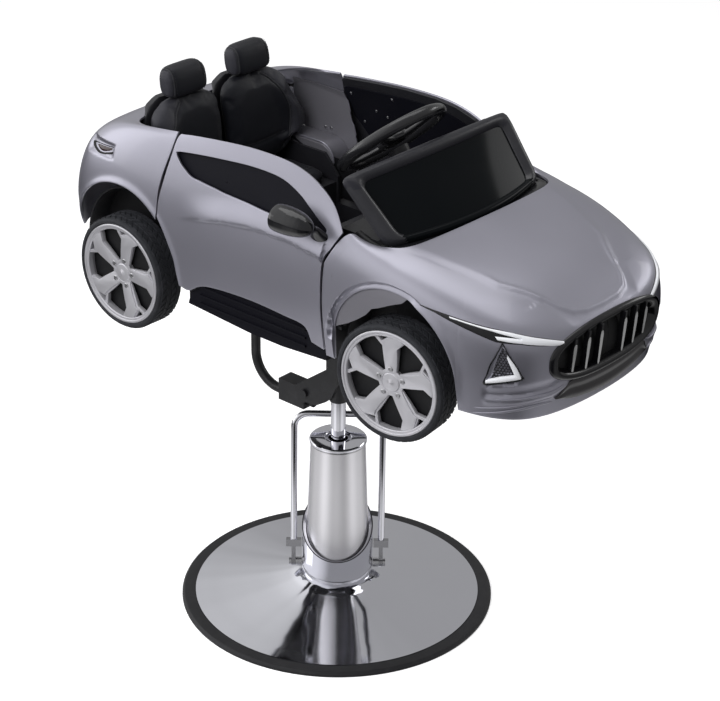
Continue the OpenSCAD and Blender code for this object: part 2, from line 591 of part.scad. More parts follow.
// Skirt under the door, in shares of the body's length and height
skirt_shares = [[-0.199, 0.037], [-0.061, 0.009], [0.013, 0.009], [0.108, 0.031], [0.109, 0.094],
    [0.080, 0.109], [0.071, 0.186], [0.023, 0.197], [-0.052, 0.203], [-0.127, 0.189],
    [-0.164, 0.166], [-0.192, 0.111]];
skirt_out_y = sill_out_y + skin_t * 3.3;
module side_skirts() color(black_plastic) both_sides() {
    upright(sill_out_y + seat_gap, skirt_out_y) polygon([for (s = skirt_shares) side_place(s)]);
    for (k = [0.35, 0.6, 0.85]) translate([body_x - body_l * 0.17, skirt_out_y - cut_over,
        body_z + body_h * 0.19 * k - skin_t / 2])
        cube([body_l * 0.235, skin_t + cut_over, skin_t]);
}

module arch_liner(x, z, r) translate([x, 0, z]) upright(tub_half_w + seat_gap, wheel_face_y * 0.85)
    difference() {
        circle(r = r, $fn = fine_fn);
        circle(r = r - skin_t * 0.8, $fn = fine_fn);
        translate([-2 * r, -2 * r]) square([4 * r, 2 * r]);
    }
liner_r = rear_arch_r * 0.905;
module arch_liners() color(black_plastic) both_sides() {
    arch_liner(-rear_axle_x, rear_arch_z - skin_t, liner_r);
    arch_liner(front_axle_x, front_arch_z - skin_t, liner_r);
}

// Quarter trims beside the seats
trim_y = body_w * 0.4;
trim_ledge_z = rear_arch_z - skin_t + liner_r + cut_over;
trim_top_z = body_z + body_h * 0.862;
module quarter_trims() color(paint) both_sides()
    translate([body_x - body_l * 0.355, 0, 0]) rotate([90, 0, 90]) linear_extrude(body_l * 0.12)
        polygon([[tub_half_w + seat_gap, trim_ledge_z], [trim_y + skin_t, trim_ledge_z],
            [trim_y + skin_t, trim_top_z], [trim_y, trim_top_z], [trim_y, trim_ledge_z + skin_t],
            [tub_half_w + seat_gap, trim_ledge_z + skin_t]]);

// Dashboard, steering column and wheel
steer_tilt = 48;
steer_ratio = 4;
steer_x = body_x + body_l * 0.0484;
steer_z = body_z + body_h * 0.9786;
column_r = axle_d;
column_len = body_l * 0.125;
module steer_frame() translate([steer_x, 0, steer_z]) rotate([0, steer_tilt - 90, 0]) children();
// Dashboard seen from the side, in shares of the body's length and height
dash_shares = [[0.075, 0.54], [0.184, 0.54], [0.184, 0.643], [0.230, 0.643], [0.230, 0.69],
    [0.206, 0.69], [0.18, 0.72], [0.105, 0.72], [0.082, 0.695], [0.073, 0.63]];
dash_half_w = body_w * 0.375;
module dashboard() color(black_plastic) difference() {
    translate([0, 0, seat_gap]) upright(-dash_half_w, dash_half_w)
        polygon([for (s = dash_shares) side_place(s)]);
    steer_frame() translate([0, 0, -column_len - axle_d])
        cylinder(r = column_r + run_gap, h = column_len + axle_d, $fn = round_fn);
}

module steering_column() color(black_plastic) steer_frame() {
    translate([0, 0, -column_len]) cylinder(r = column_r, h = column_len - steer_rim_d, $fn = round_fn);
    translate([0, 0, -column_len * 0.5]) cylinder(r1 = column_r * 1.3, r2 = column_r * 2,
        h = column_len * 0.5 - steer_rim_d, $fn = round_fn);
}

hub_r = steer_d * 0.14;
horn_r = hub_r * 0.62;
spoke_w = steer_rim_d * 0.8;
module steering_wheel() color(black_plastic) steer_frame() difference() {
    union() {
        rotate_extrude($fn = fine_fn) translate([(steer_d - steer_rim_d) / 2, 0])
            circle(r = steer_rim_d / 2, $fn = bar_fn);
        translate([0, 0, seat_gap - steer_rim_d]) cylinder(r = hub_r, h = steer_rim_d, $fn = round_fn);
        for (a = [90, 270, 180]) rotate([0, 0, a + rest_steer * steer_ratio])
            translate([0, -spoke_w / 2, -steer_rim_d * 0.45])
                cube([(steer_d - steer_rim_d) / 2, spoke_w, steer_rim_d * 0.4]);
    }
    translate([0, 0, -steer_rim_d * 0.6])
        cylinder(r = horn_r + run_gap, h = 2 * steer_rim_d, $fn = round_fn);
}
module horn_button() color(black_plastic) steer_frame()
    translate([0, 0, -steer_rim_d * 0.35]) cylinder(r = horn_r, h = steer_rim_d * 0.45, $fn = round_fn);

// Wheels. The wheel's own axis is Z, with its outer face at zero.
tyre_r = tyre_d / 2;
rim_r = rim_d / 2;
shoulder = (tyre_r - rim_r) / 2;
barrel_wall = rim_r * 0.075;
face_t = tyre_w * 0.12;
wheel_hub_r = rim_r * 0.23;
wheel_hub_h = tyre_w * 0.37;
// Window between two spokes, in shares of the rim's radius
window_shares = [[0.36, -0.06], [0.62, -0.23], [0.81, -0.33], [0.865, -0.17], [0.88, 0],
    [0.865, 0.17], [0.81, 0.33], [0.62, 0.23], [0.36, 0.06]];
spoke_count = 5;
module tyre() color(black_plastic) rotate_extrude($fn = fine_fn) polygon([[rim_r, -tyre_w + shoulder],
    [rim_r + shoulder / 2, -tyre_w], [tyre_r - shoulder, shoulder / 4 - tyre_w],
    [tyre_r, shoulder - tyre_w], [tyre_r, -shoulder], [tyre_r - shoulder, -shoulder / 4],
    [rim_r + shoulder / 2, 0], [rim_r, -shoulder / 2]]);
module rim() color(paint) difference() {
    union() {
        rotate_extrude($fn = fine_fn) polygon([[rim_r - barrel_wall, shoulder - tyre_w],
            [rim_r - seat_gap, shoulder - tyre_w], [rim_r - seat_gap, -shoulder / 2],
            [rim_r - barrel_wall / 2, -shoulder / 4], [rim_r - barrel_wall, -shoulder / 2]]);
        translate([0, 0, -shoulder / 2 - face_t])
            cylinder(r = rim_r - barrel_wall / 2, h = face_t, $fn = fine_fn);
        translate([0, 0, -wheel_hub_h])
            cylinder(r = wheel_hub_r, h = wheel_hub_h - shoulder / 2, $fn = round_fn);
        translate([0, 0, -shoulder]) cylinder(r = wheel_hub_r * 0.75, h = shoulder, $fn = round_fn);
    }
    for (k = [0 : spoke_count - 1]) rotate([0, 0, 360 * (k + 0.5) / spoke_count])
        translate([0, 0, -shoulder - 2 * face_t]) linear_extrude(3 * face_t)
            polygon(rim_r * window_shares);
    translate([0, 0, -wheel_hub_h - cut_over])
        cylinder(r = axle_r + run_gap, h = wheel_hub_h - shoulder + cut_over, $fn = round_fn);
}
module side_frame(side) mirror([0, side > 0 ? 1 : 0, 0]) children();
module outward_at(y) translate([0, -y, 0]) rotate([90, 0, 0]) children();
module kingpin_frame(side) translate([kingpin_x, side * kingpin_y, wheel_z])
    rotate([0, 0, rest_steer]) side_frame(side) children();
module front_wheel(side) kingpin_frame(side) outward_at(kingpin_offset + tyre_w / 2) children();
module rear_wheel(side) translate([-rear_axle_x, 0, wheel_z]) side_frame(side)
    outward_at(wheel_face_y) children();
module right_front_tyre() front_wheel(-1) tyre();
module left_front_tyre() front_wheel(1) tyre();
module right_rear_tyre() rear_wheel(-1) tyre();
module left_rear_tyre() rear_wheel(1) tyre();
module right_front_rim() front_wheel(-1) rim();
module left_front_rim() front_wheel(1) rim();
module right_rear_rim() rear_wheel(-1) rim();
module left_rear_rim() rear_wheel(1) rim();

// Axles and steering knuckles
axle_reach = shoulder * 1.3;
lug_r = axle_d * 0.9;
fork_in = axle_d * 1.06;
fork_out = axle_d * 2.2;
fork_z = lug_t / 2 + seat_gap;
fork_t = axle_d * 0.6;
module rear_axle() color(chrome) translate([-rear_axle_x, wheel_face_y - axle_reach, wheel_z])
    rotate([90, 0, 0]) cylinder(r = axle_r, h = 2 * (wheel_face_y - axle_reach), $fn = round_fn);
module front_axle_beam() color(black_plastic) difference() {
    union() {
        translate([kingpin_x - beam_w / 2, 2 * axle_d - kingpin_y, wheel_z - axle_d])
            cube([beam_w, 2 * (kingpin_y - 2 * axle_d), 2 * axle_d]);
        translate([kingpin_x - beam_w / 2, -rail_half_w, tub_low_z])
            cube([beam_w, 2 * rail_half_w, wheel_z - tub_low_z]);
        translate([kingpin_x - lug_r * 0.8, -kingpin_y, wheel_z - lug_t / 2])
            cube([lug_r * 1.6, 2 * kingpin_y, lug_t]);
        both_sides() translate([kingpin_x, kingpin_y, wheel_z - lug_t / 2])
            cylinder(r = lug_r, h = lug_t, $fn = round_fn);
    }
    both_sides() translate([kingpin_x, kingpin_y, wheel_z - lug_t])
        cylinder(r = axle_r, h = 2 * lug_t, $fn = round_fn);
}
module knuckle(side) color(black_plastic) kingpin_frame(side) {
    both_heights() translate([-lug_r, -fork_out, fork_z]) cube([2 * lug_r, fork_out + lug_r * 0.9, fork_t]);
    translate([-lug_r, -fork_out, -fork_z - fork_t])
        cube([2 * lug_r, fork_out - fork_in, 2 * (fork_z + fork_t)]);
    translate([0, 0, -fork_z - fork_t])
        cylinder(r = axle_r - run_gap, h = 2 * (fork_z + fork_t), $fn = round_fn);
    translate([0, -fork_out + cut_over, 0]) rotate([90, 0, 0])
        cylinder(r = axle_r, h = kingpin_offset + tyre_w / 2 - axle_reach - fork_out + cut_over,
            $fn = round_fn);
}
module both_heights() {
    children();
    mirror([0, 0, 1]) children();
}
module right_knuckle() knuckle(-1);
module left_knuckle() knuckle(1);

// Doors. Each station pairs a point of the outline with a point of the window's edge, in shares
// of the body's length from its middle and of its height; the stations between follow the arch.
door_fore_shares = [[[0.109, 0.103], [0.073, 0.723]], [[0.109, 0.243], [0.087, 0.723]],
    [[0.109, 0.400], [0.098, 0.724]], [[0.109, 0.589], [0.105, 0.726]],
    [[0.123, 0.671], [0.107, 0.734]], [[0.137, 0.755], [0.104, 0.749]],
    [[0.102, 0.866], [0.089, 0.771]], [[0.066, 0.938], [0.066, 0.811]],
    [[0.027, 0.978], [0.036, 0.863]], [[-0.017, 0.993], [-0.005, 0.903]],
    [[-0.082, 0.991], [-0.063, 0.909]], [[-0.154, 0.972], [-0.130, 0.894]],
    [[-0.218, 0.948], [-0.195, 0.874]], [[-0.232, 0.929], [-0.226, 0.860]],
    [[-0.237, 0.829], [-0.227, 0.846]], [[-0.243, 0.714], [-0.220, 0.823]],
    [[-0.250, 0.589], [-0.2125, 0.803]], [[-0.251, 0.503], [-0.205, 0.789]]];
door_arch_turns = [32, 14, 0];
door_arch_shares = [[-0.195, 0.771], [-0.185, 0.760], [-0.172, 0.756]];
door_low_shares = [[[-0.2125, 0.131], [-0.159, 0.751]], [[-0.192, 0.123], [-0.146, 0.747]],
    [[-0.164, 0.175], [-0.132, 0.743]], [[-0.127, 0.200], [-0.110, 0.736]],
    [[-0.052, 0.214], [-0.061, 0.729]], [[0.023, 0.208], [-0.016, 0.720]],
    [[0.0696, 0.197], [0.029, 0.720]], [[0.083, 0.118], [0.051, 0.721]]];
door_arch_r = rear_arch_r + skin_t / 2;
door_pairs = concat(
    [for (d = door_fore_shares) [side_place(d[0]), side_place(d[1])]],
    [for (k = [0 : len(door_arch_turns) - 1]) let (a = door_arch_turns[k])
        [[door_arch_r * cos(a) - rear_axle_x, rear_arch_z + door_arch_r * sin(a)],
            side_place(door_arch_shares[k])]],
    [for (d = door_low_shares) [side_place(d[0]), side_place(d[1])]]);
door_rows = [0, 0.12, 0.3, 0.5, 0.7, 0.87, 1];
liner_rows = [0.08, 0.5, 0.93];
liner_t = skin_t;
function door_point(x, z, depth) =
    let (q = side_uv(x, z)) to_side(skin(q[0], q[1]) - depth * facing(q[0], q[1]), -1);
function door_grid(rows, depth) = [for (t = rows) [for (d = door_pairs)
    door_point(mix(d[1][0], d[0][0], t), mix(d[1][1], d[0][1], t), depth)]];
door_outer = door_grid(door_rows, 0);
door_inner = door_grid(door_rows, skin_t);
function liner_z(z) = max(z, liner_low_z);
liner_low_z = sill_top_z + skin_t;
function liner_grid(depth) = [for (t = liner_rows) [for (d = door_pairs)
    door_point(mix(d[1][0], d[0][0], t), liner_z(mix(d[1][1], d[0][1], t)), depth)]];
liner_depth = skin_t + seat_gap * 2;
liner_outer = liner_grid(liner_depth);
liner_inner = liner_grid(liner_depth + liner_t);
module door_shell() color(paint) sheet(door_outer, door_inner, true, false);
module door_liner() color(black_plastic) sheet(liner_outer, liner_inner, true, false);
module right_door_shell() door_shell();
module left_door_shell() mirror([0, 1, 0]) door_shell();
module right_door_liner() door_liner();
module left_door_liner() mirror([0, 1, 0]) door_liner();

// Door hinges. The arm hooks round the edge of the front shell.
hinge_x = door_front_x + body_l * 0.025;
hinge_y = body_w * 0.444;
hinge_low_z = body_z + body_h * 0.37;
hinge_high_z = body_z + body_h * 0.46;
post_r = axle_r;
sleeve_r = axle_d * 0.8;
arm_t = axle_d * 0.7;
arm_back = body_l * 0.0357;
arm_dip = body_w * 0.045;
arm_pad_y = side_y(hinge_x - arm_back, (hinge_low_z + hinge_high_z) / 2) - liner_depth - liner_t
    - 5 * seat_gap;
post_top_z = hinge_high_z + axle_r;
bracket_t = tub_wall;
module hinge_posts() color(black_plastic) both_sides() {
    translate([hinge_x, hinge_y, sill_top_z + seat_gap])
        cylinder(r = post_r, h = post_top_z - sill_top_z, $fn = round_fn);
    translate([sill_front_x - 3 * sleeve_r, hinge_y - 4 * sleeve_r, sill_top_z + seat_gap])
        cube([3 * sleeve_r, 4 * sleeve_r, bracket_t]);
    translate([sill_front_x - sleeve_r, hinge_y - sleeve_r, sill_top_z + seat_gap])
        cube([hinge_x - sill_front_x + 2 * sleeve_r, 1.8 * sleeve_r, bracket_t]);
}
module door_hinge() color(black_plastic) translate([0, 0, hinge_low_z]) difference() {
    union() {
        translate([hinge_x, -hinge_y, 0])
            cylinder(r = sleeve_r, h = hinge_high_z - hinge_low_z, $fn = round_fn);
        linear_extrude(hinge_high_z - hinge_low_z) polygon([[hinge_x, post_r - hinge_y],
            [hinge_x - arm_back * 0.8, arm_dip - hinge_y + arm_t / 2],
            [hinge_x - arm_back - arm_t / 2, arm_dip - hinge_y + arm_t / 2],
            [hinge_x - arm_back - arm_t / 2, -arm_pad_y], [hinge_x - arm_back + arm_t / 2, -arm_pad_y],
            [hinge_x - arm_back + arm_t / 2, arm_dip - hinge_y - arm_t / 2],
            [hinge_x - arm_back * 0.75, arm_dip - hinge_y - arm_t / 2], [hinge_x, -post_r - hinge_y]]);
    }
    translate([hinge_x, -hinge_y, -cut_over])
        cylinder(r = post_r + run_gap, h = hinge_high_z - hinge_low_z + 2 * cut_over, $fn = round_fn);
}
module right_door_hinge() door_hinge();
module left_door_hinge() mirror([0, 1, 0]) door_hinge();

// Mirrors. Each ring has a share of the pod's length, a half width, a half height and a rise.
pod_l = body_l * 0.084;
pod_half_w = body_w * 0.053;
pod_half_h = body_h * 0.094;
pod_x = body_x + body_l * 0.033;
pod_y = body_w * 0.511;
pod_z = body_z + body_h * 0.794;
pod_shares = [[0, 0.82, 0.84, 0], [0.03, 0.95, 0.96, 0], [0.2, 1, 1, 0], [0.45, 0.93, 0.95, -0.02],
    [0.7, 0.74, 0.74, -0.06], [0.88, 0.5, 0.46, -0.12], [1, 0.16, 0.14, -0.16]];
pod_foot_share = 0.8;
pod_fn = 18;
pod_rings = [for (r = pod_shares) [for (k = [0 : pod_fn - 1]) let (a = 360 * k / pod_fn)
    [pod_x + pod_l * r[0], -pod_y - pod_half_w * r[1] * cos(a),
        pod_z + pod_half_h * (r[2] * sin(a) + r[3])]]];
pod_foot_r = pod_half_w * 0.24;
foot_x = pod_x + pod_l * pod_foot_share;
foot_z = pod_z - pod_half_h * 0.1;
foot_y = side_y(foot_x, foot_z - pod_foot_r) + 2 * seat_gap;
foot_reach = pod_y - pod_half_w * pod_shares[4][1] + 2 * seat_gap - foot_y;
module mirror_pod() color(black_plastic) {
    loft(pod_rings);
    translate([foot_x, -foot_y, foot_z]) rotate([90, 0, 0])
        cylinder(r = pod_foot_r, h = foot_reach, $fn = round_fn);
}
module right_mirror() mirror_pod();
module left_mirror() mirror([0, 1, 0]) mirror_pod();

// Windshield, as shares across and up its surface
screen_low_z = side_place([0, 0.7125])[1];
screen_low_x = body_x + body_l * 0.2375;
screen_sweep = body_l * 0.034;
screen_high_x = body_x + body_l * 0.128;
screen_low_y = body_w * 0.38;
screen_high_y = body_w * 0.409;
function screen_point(s, t) = [mix(screen_low_x - screen_sweep * s * s,
    screen_high_x - screen_sweep * 0.25 * s * s, t),
    mix(screen_low_y, screen_high_y, t) * s, mix(screen_low_z, screen_z, t) + skin_t * 2 * t * (1 - s * s)];
screen_turn = atan2(screen_low_x - screen_high_x, screen_z - screen_low_z);
screen_out = [cos(screen_turn), 0, sin(screen_turn)];
// Frame corners and mid points, outer and inner, as shares across and up
frame_out_shares = [[-1, 0], [-0.66, 0], [-0.33, 0], [0, 0], [0.33, 0], [0.66, 0], [1, 0], [1, 0.5],
    [1, 0.94], [0.96, 1], [0.6, 1], [0.3, 1], [0, 1], [-0.3, 1], [-0.6, 1], [-0.96, 1], [-1, 0.94],
    [-1, 0.5]];
frame_in_shares = [[-0.85, 0.1], [-0.6, 0.1], [-0.3, 0.1], [0, 0.1], [0.3, 0.1], [0.6, 0.1], [0.85, 0.1],
    [0.86, 0.5], [0.87, 0.8], [0.82, 0.86], [0.55, 0.86], [0.28, 0.86], [0, 0.86], [-0.28, 0.86],
    [-0.55, 0.86], [-0.82, 0.86], [-0.87, 0.8], [-0.86, 0.5]];
function frame_grid(lift) = [for (t = [0, 0.5, 1]) [for (k = [0 : len(frame_out_shares) - 1])
    let (s = mix(frame_in_shares[k], frame_out_shares[k], t))
    screen_point(s[0], s[1]) + screen_out * lift * (t == 0.5 ? 1 : 0.8)]];
module windshield_frame() color(black_plastic)
    sheet(frame_grid(skin_t), frame_grid(-2 * skin_t), true, false);
screen_edge = 0.004;
function glass_grid(lift) = [for (j = [0 : 4]) [for (k = [0 : 8])
    let (t = mix(0.1 + screen_edge, 0.86 - screen_edge, j / 4), w = mix(0.835, 0.855, j / 4) - screen_edge,
        c = j == 4 ? 0.965 : 1)
    screen_point(mix(-w, w, k / 8) * c, t) + screen_out * lift]];
module windshield_screen() color(black_plastic)
    sheet(glass_grid(-skin_t / 2), glass_grid(-skin_t * 1.3));

// Seats
shell_shares = [[-0.37, 0.373], [-0.336, 0.373], [-0.361, 0.971], [-0.374, 0.971], [-0.374, 0.93],
    [-0.364, 0.905], [-0.364, 0.84], [-0.37, 0.81]];
shell_half_w = body_w * 0.255;
cushion_half_w = tub_half_w - tub_wall - 4 * seat_gap;
module seat_shell() color(black_plastic) upright(-shell_half_w, shell_half_w)
    polygon([for (s = shell_shares) let (p = side_place(s))
        [p[0], max(p[1], tub_step_z + tub_wall + seat_gap)]]);

soft_fn = 28;
function squared(a, power) =
    [sign(cos(a)) * pow(abs(cos(a)), power), sign(sin(a)) * pow(abs(sin(a)), power)];
cushion_low_z = tub_step_z + tub_wall + seat_gap;
cushion_h = seat_z - cushion_low_z;
cushion_back_x = side_place(shell_shares[1])[0] + seat_gap;
cushion_front_x = tub_step_x + tub_wall;
// Rings of the cushion: share of its height, and how far its edge draws in
cushion_shares = [[0, 0.3], [0.18, 0.06], [0.5, 0], [0.74, 0.1], [0.9, 0.42], [0.98, 1], [1, 2]];
cushion_rings = [for (r = cushion_shares) [for (k = [0 : soft_fn - 1])
    let (q = squared(360 * k / soft_fn, 0.35), d = r[1] * cushion_h)
    [mix(cushion_back_x, cushion_front_x, 0.5) + q[0] * ((cushion_front_x - cushion_back_x) / 2 - d),
        q[1] * (cushion_half_w - d), cushion_low_z + cushion_h * r[0]]]];
module seat_cushion() color(black_plastic) loft(cushion_rings, true);

// Seat back seen from the front: height share, inner edge, outer edge and bolster share
back_low_z = seat_z + cut_over;
back_top_z = body_z + body_h * 0.976;
back_shares = [[0, 0.2, 0.56, 0], [0.05, 0.06, 0.70, 0.1], [0.13, 0.02, 0.765, 0.3],
    [0.18, 0.02, 0.785, 0.45], [0.23, 0.02, 0.79, 0.7], [0.265, 0.02, 0.88, 0.9], [0.32, 0.02, 0.95, 1],
    [0.45, 0.02, 0.955, 1], [0.58, 0.02, 0.90, 0.9], [0.72, 0.02, 0.84, 0.6], [0.85, 0.03, 0.80, 0.35],
    [0.93, 0.07, 0.74, 0.1], [0.98, 0.15, 0.66, 0], [1, 0.2, 0.6, 0]];
back_unit = trim_y - seat_gap;
back_t = body_w * 0.075;
function back_face_x(z) = let (a = side_place(shell_shares[1]), b = side_place(shell_shares[2]))
    mix(a[0], b[0], (z - a[1]) / (b[1] - a[1])) + 2 * seat_gap;
function back_ring(r) = let (z = mix(back_low_z, back_top_z, r[0]), half = (r[2] - r[1]) / 2 * back_unit,
        mid = (r[2] + r[1]) / 2 * back_unit, plump = pow(1 - pow(abs(2 * r[0] - 1), 4), 0.5) * 0.3 + 0.7)
    [for (k = [0 : soft_fn - 1]) let (q = squared(360 * k / soft_fn, 0.45),
        puff = back_t * plump * (0.5 + 0.5 * q[1]) * (1 + r[3] * 0.45 * smooth((q[0] - 0.3) / 0.5)))
        [back_face_x(z) + puff, mid + half * q[0], z]];
back_rings = [for (r = back_shares) back_ring(r)];
module seat_backs() color(black_plastic) both_sides() loft(back_rings);

rest_low_z = back_top_z + seat_gap * 2;
rest_half_w = body_w * 0.097;
rest_half_t = body_w * 0.043;
rest_x = back_face_x(rest_low_z) + rest_half_t * 0.85;
rest_y = body_w * 0.156;
// Rings of a headrest: height share, width share and thickness share
rest_shares = [[0, 0.7, 0.62], [0.06, 0.9, 0.85], [0.3, 1, 1], [0.65, 1, 1], [0.85, 0.93, 0.86],
    [0.96, 0.78, 0.6], [1, 0.55, 0.3]];
rest_rings = [for (r = rest_shares) [for (k = [0 : soft_fn - 1])
    let (q = squared(360 * k / soft_fn, 0.5), z = mix(rest_low_z, headrest_z, r[0]))
    [rest_x - (z - rest_low_z) * 0.16 + q[0] * rest_half_t * r[2], rest_y + q[1] * rest_half_w * r[1], z]]];
module headrests() color(black_plastic) both_sides() loft(rest_rings, true);

// Front and rear trim that follows the body surface
trim_gap = skin_t * 0.18;
function lifted(q, lift, side) = to_side(skin(q[0], q[1]) + lift * facing(q[0], q[1]), side);
function nose_point(y, z, lift) = lifted(nose_uv(abs(y), z), lift, y < 0 ? -1 : 1);
function side_point(x, z, lift) = lifted(side_uv(x, z), lift, -1);
lip_half_w = body_w * 0.309;
lip_low_z = body_z + body_h * 0.06;
lip_high_z = body_z + body_h * 0.172;
function lip_grid(lift) = [for (j = [0 : 3]) [for (k = [-6 : 6])
    nose_point(lip_half_w * k / 6 * (1 - 0.05 * j), mix(lip_low_z, lip_high_z, j / 3), lift)]];
module front_lip() color(black_plastic) sheet(lip_grid(skin_t), lip_grid(trim_gap));

grille_half_w = body_w * 0.268;
grille_half_h = body_h * 0.124;
grille_z = body_z + body_h * 0.318;
grille_fn = 40;
function oval(a, k) = let (q = squared(a, 0.77))
    [grille_half_w * k * q[0], grille_z + grille_half_h * q[1] * (1 + (k - 1) * 2.4)];
function grille_loop(k, lift) = [for (i = [0 : grille_fn - 1]) let (p = oval(360 * i / grille_fn, k))
    nose_point(p[0], p[1], lift)];
module grille_surround() color(paint) sheet([grille_loop(0.955, skin_t * 0.9), grille_loop(1, skin_t * 1.3),
    grille_loop(1.045, skin_t * 0.7)], [for (k = [0.955, 1, 1.045]) grille_loop(k, trim_gap)], true, false);
slat_shares = [-0.69, -0.46, -0.23, 0.23, 0.46, 0.69];
slat_half_w = grille_half_w * 0.025;
function slat_grid(s, lift) = [for (j = [0 : 4]) [for (k = [-1, 1])
    let (h = grille_half_h * 0.84 * pow(1 - pow(abs(s), 2.6), 1 / 2.6))
    nose_point(s * grille_half_w + k * slat_half_w, grille_z + h * (j - 2) / 2, lift)]];
module grille_slats() color(black_plastic) for (s = slat_shares)
    sheet(slat_grid(s, skin_t * 1.3), slat_grid(s, trim_gap));

// Headlight path: share of the body's length, or across the nose share of the half width, then the
// height share and the half height's share
lamp_side_shares = [[0.316, 0.517, 0.012], [0.345, 0.526, 0.035], [0.386, 0.500, 0.045],
    [0.430, 0.459, 0.042]];
lamp_nose_shares = [[0.765, 0.454, 0.042], [0.71, 0.446, 0.042], [0.64, 0.428, 0.034],
    [0.575, 0.414, 0.012]];
lamp_side_steps = [for (i = [0 : 2]) for (t = [0 : 0.25 : 1]) if (t < 1 || i == 2)
    mix(lamp_side_shares[i], lamp_side_shares[i + 1], t)];
lamp_nose_steps = [for (i = [0 : 2]) for (t = [0 : 0.5 : 1]) if (t < 1 || i == 2)
    mix(lamp_nose_shares[i], lamp_nose_shares[i + 1], t)];
function lamp_rail(e, lift) = concat(
    [for (s = lamp_side_steps)
        side_point(body_x + body_l * s[0], body_z + body_h * (s[1] + e * s[2]), lift)],
    [for (s = lamp_nose_steps) nose_point(-body_w / 2 * s[0], body_z + body_h * (s[1] + e * s[2]), lift)]);
function lamp_grid(lift) = [for (e = [-1, -0.33, 0.33, 1]) lamp_rail(e, lift)];
module headlights() color(lamp_white) both_sides() sheet(lamp_grid(skin_t * 1.2), lamp_grid(skin_t * 0.3));

// Rows of a vent from its foot up: back and front edge, each as a length share and a height share
vent_shares = [[0.425, 0.206, 0.455, 0.249], [0.4255, 0.29, 0.447, 0.32], [0.4262, 0.36, 0.4405, 0.378],
    [0.427, 0.405, 0.434, 0.408]];
function vent_grid(lift) = [for (r = vent_shares) [for (k = [0 : 3]) let (t = k / 3)
    side_point(body_x + body_l * mix(r[0], r[2], t), body_z + body_h * mix(r[1], r[3], t), lift)]];
module side_vents() color(black_plastic) both_sides() sheet(vent_grid(skin_t * 0.8), vent_grid(trim_gap));

function tail_grid(lift) = [for (j = [0 : 2]) [for (k = [0 : 4])
    let (x = body_x - body_l * mix(0.425, 0.374 + 0.01 * j, k / 4),
        z = mix(0.712, 0.775, j / 2) + 0.01 * k / 4)
    side_point(x, body_z + body_h * z, lift)]];
module taillights() color(lamp_red) both_sides() sheet(tail_grid(skin_t * 0.8), tail_grid(trim_gap));

base_ring();
base_plate();
pump_collar();
pump_cylinder();
gland_bush();
pump_cover();
cover_cap();
lever_pivots();
lever_bar();
lever_clamps();
piston_head();
piston_rod();
rod_socket();
cradle_cheeks();
cradle_brace();
brace_clamp();
chassis_rail();
chassis_tub();
front_shell();
rear_shell();
quarter_trims();
side_skirts();
front_lip();
grille_surround();
grille_slats();
headlights();
side_vents();
taillights();
windshield_frame();
windshield_screen();
dashboard();
seat_shell();
seat_cushion();
seat_backs();
headrests();
arch_liners();
rear_axle();
front_axle_beam();
hinge_posts();
steering_column();
steering_wheel();
horn_button();
right_knuckle();
left_knuckle();
right_front_tyre();
left_front_tyre();
right_rear_tyre();
left_rear_tyre();
right_front_rim();
left_front_rim();
right_rear_rim();
left_rear_rim();
right_door_shell();
left_door_shell();
right_door_liner();
left_door_liner();
right_door_hinge();
left_door_hinge();
right_mirror();
left_mirror();
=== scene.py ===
import math

import bmesh
import bpy
import numpy as np
from mathutils import Matrix, Vector
from mathutils.bvhtree import BVHTree
from mathutils.kdtree import KDTree


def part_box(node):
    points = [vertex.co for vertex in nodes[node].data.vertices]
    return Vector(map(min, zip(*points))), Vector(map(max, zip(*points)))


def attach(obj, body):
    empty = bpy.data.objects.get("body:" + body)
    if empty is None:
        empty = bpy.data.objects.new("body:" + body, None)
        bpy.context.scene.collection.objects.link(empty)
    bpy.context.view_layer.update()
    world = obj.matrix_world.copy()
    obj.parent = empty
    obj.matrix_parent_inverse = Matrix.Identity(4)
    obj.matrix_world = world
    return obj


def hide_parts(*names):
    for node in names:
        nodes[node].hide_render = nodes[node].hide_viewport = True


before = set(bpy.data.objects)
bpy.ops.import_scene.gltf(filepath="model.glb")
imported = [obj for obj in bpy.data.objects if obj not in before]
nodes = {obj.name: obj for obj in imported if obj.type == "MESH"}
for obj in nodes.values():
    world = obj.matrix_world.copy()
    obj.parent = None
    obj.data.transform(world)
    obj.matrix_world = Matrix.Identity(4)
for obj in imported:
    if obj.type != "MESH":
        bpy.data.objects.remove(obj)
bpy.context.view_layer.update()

mirrorY = np.array([1, -1, 1])
sides = ((-1, "right"), (1, "left"))


# Studio: camera, floor and lamps
studio = {
    "heading": 41.079, "pitch": 26.464, "roll": 0.78,      # degrees
    "cameraPlace": (2.5713, -2.8887, 2.4630),               # metres
    "lens": 113.19, "sensor": 36, "farClip": 50,
    "floorColor": (0.93, 0.93, 0.94), "backdropSize": 12,
    "worldGrey": 0.34,
    # Light that polished metal sees, by direction: dark away from the aim, bright towards it
    "mirrorLow": 0.38, "mirrorHigh": 1.1, "mirrorFrom": 0.25, "mirrorTo": 0.95,
    "mirrorAim": (-0.75, -0.5, 0.43),
    # Share of the mirrored floor's light close to the foot and further off
    "nearShare": 0.62, "farShare": 0.12, "nearReach": 0.75, "farReach": 1.4, "floorDull": 0.16,
    "streaks": ((3.0, 0.6, 0.55), (7.0, 1.0, 0.25)), "streakDeep": 0.3,
    "floorGlow": 0.35, "paperGlow": 0.2,
}


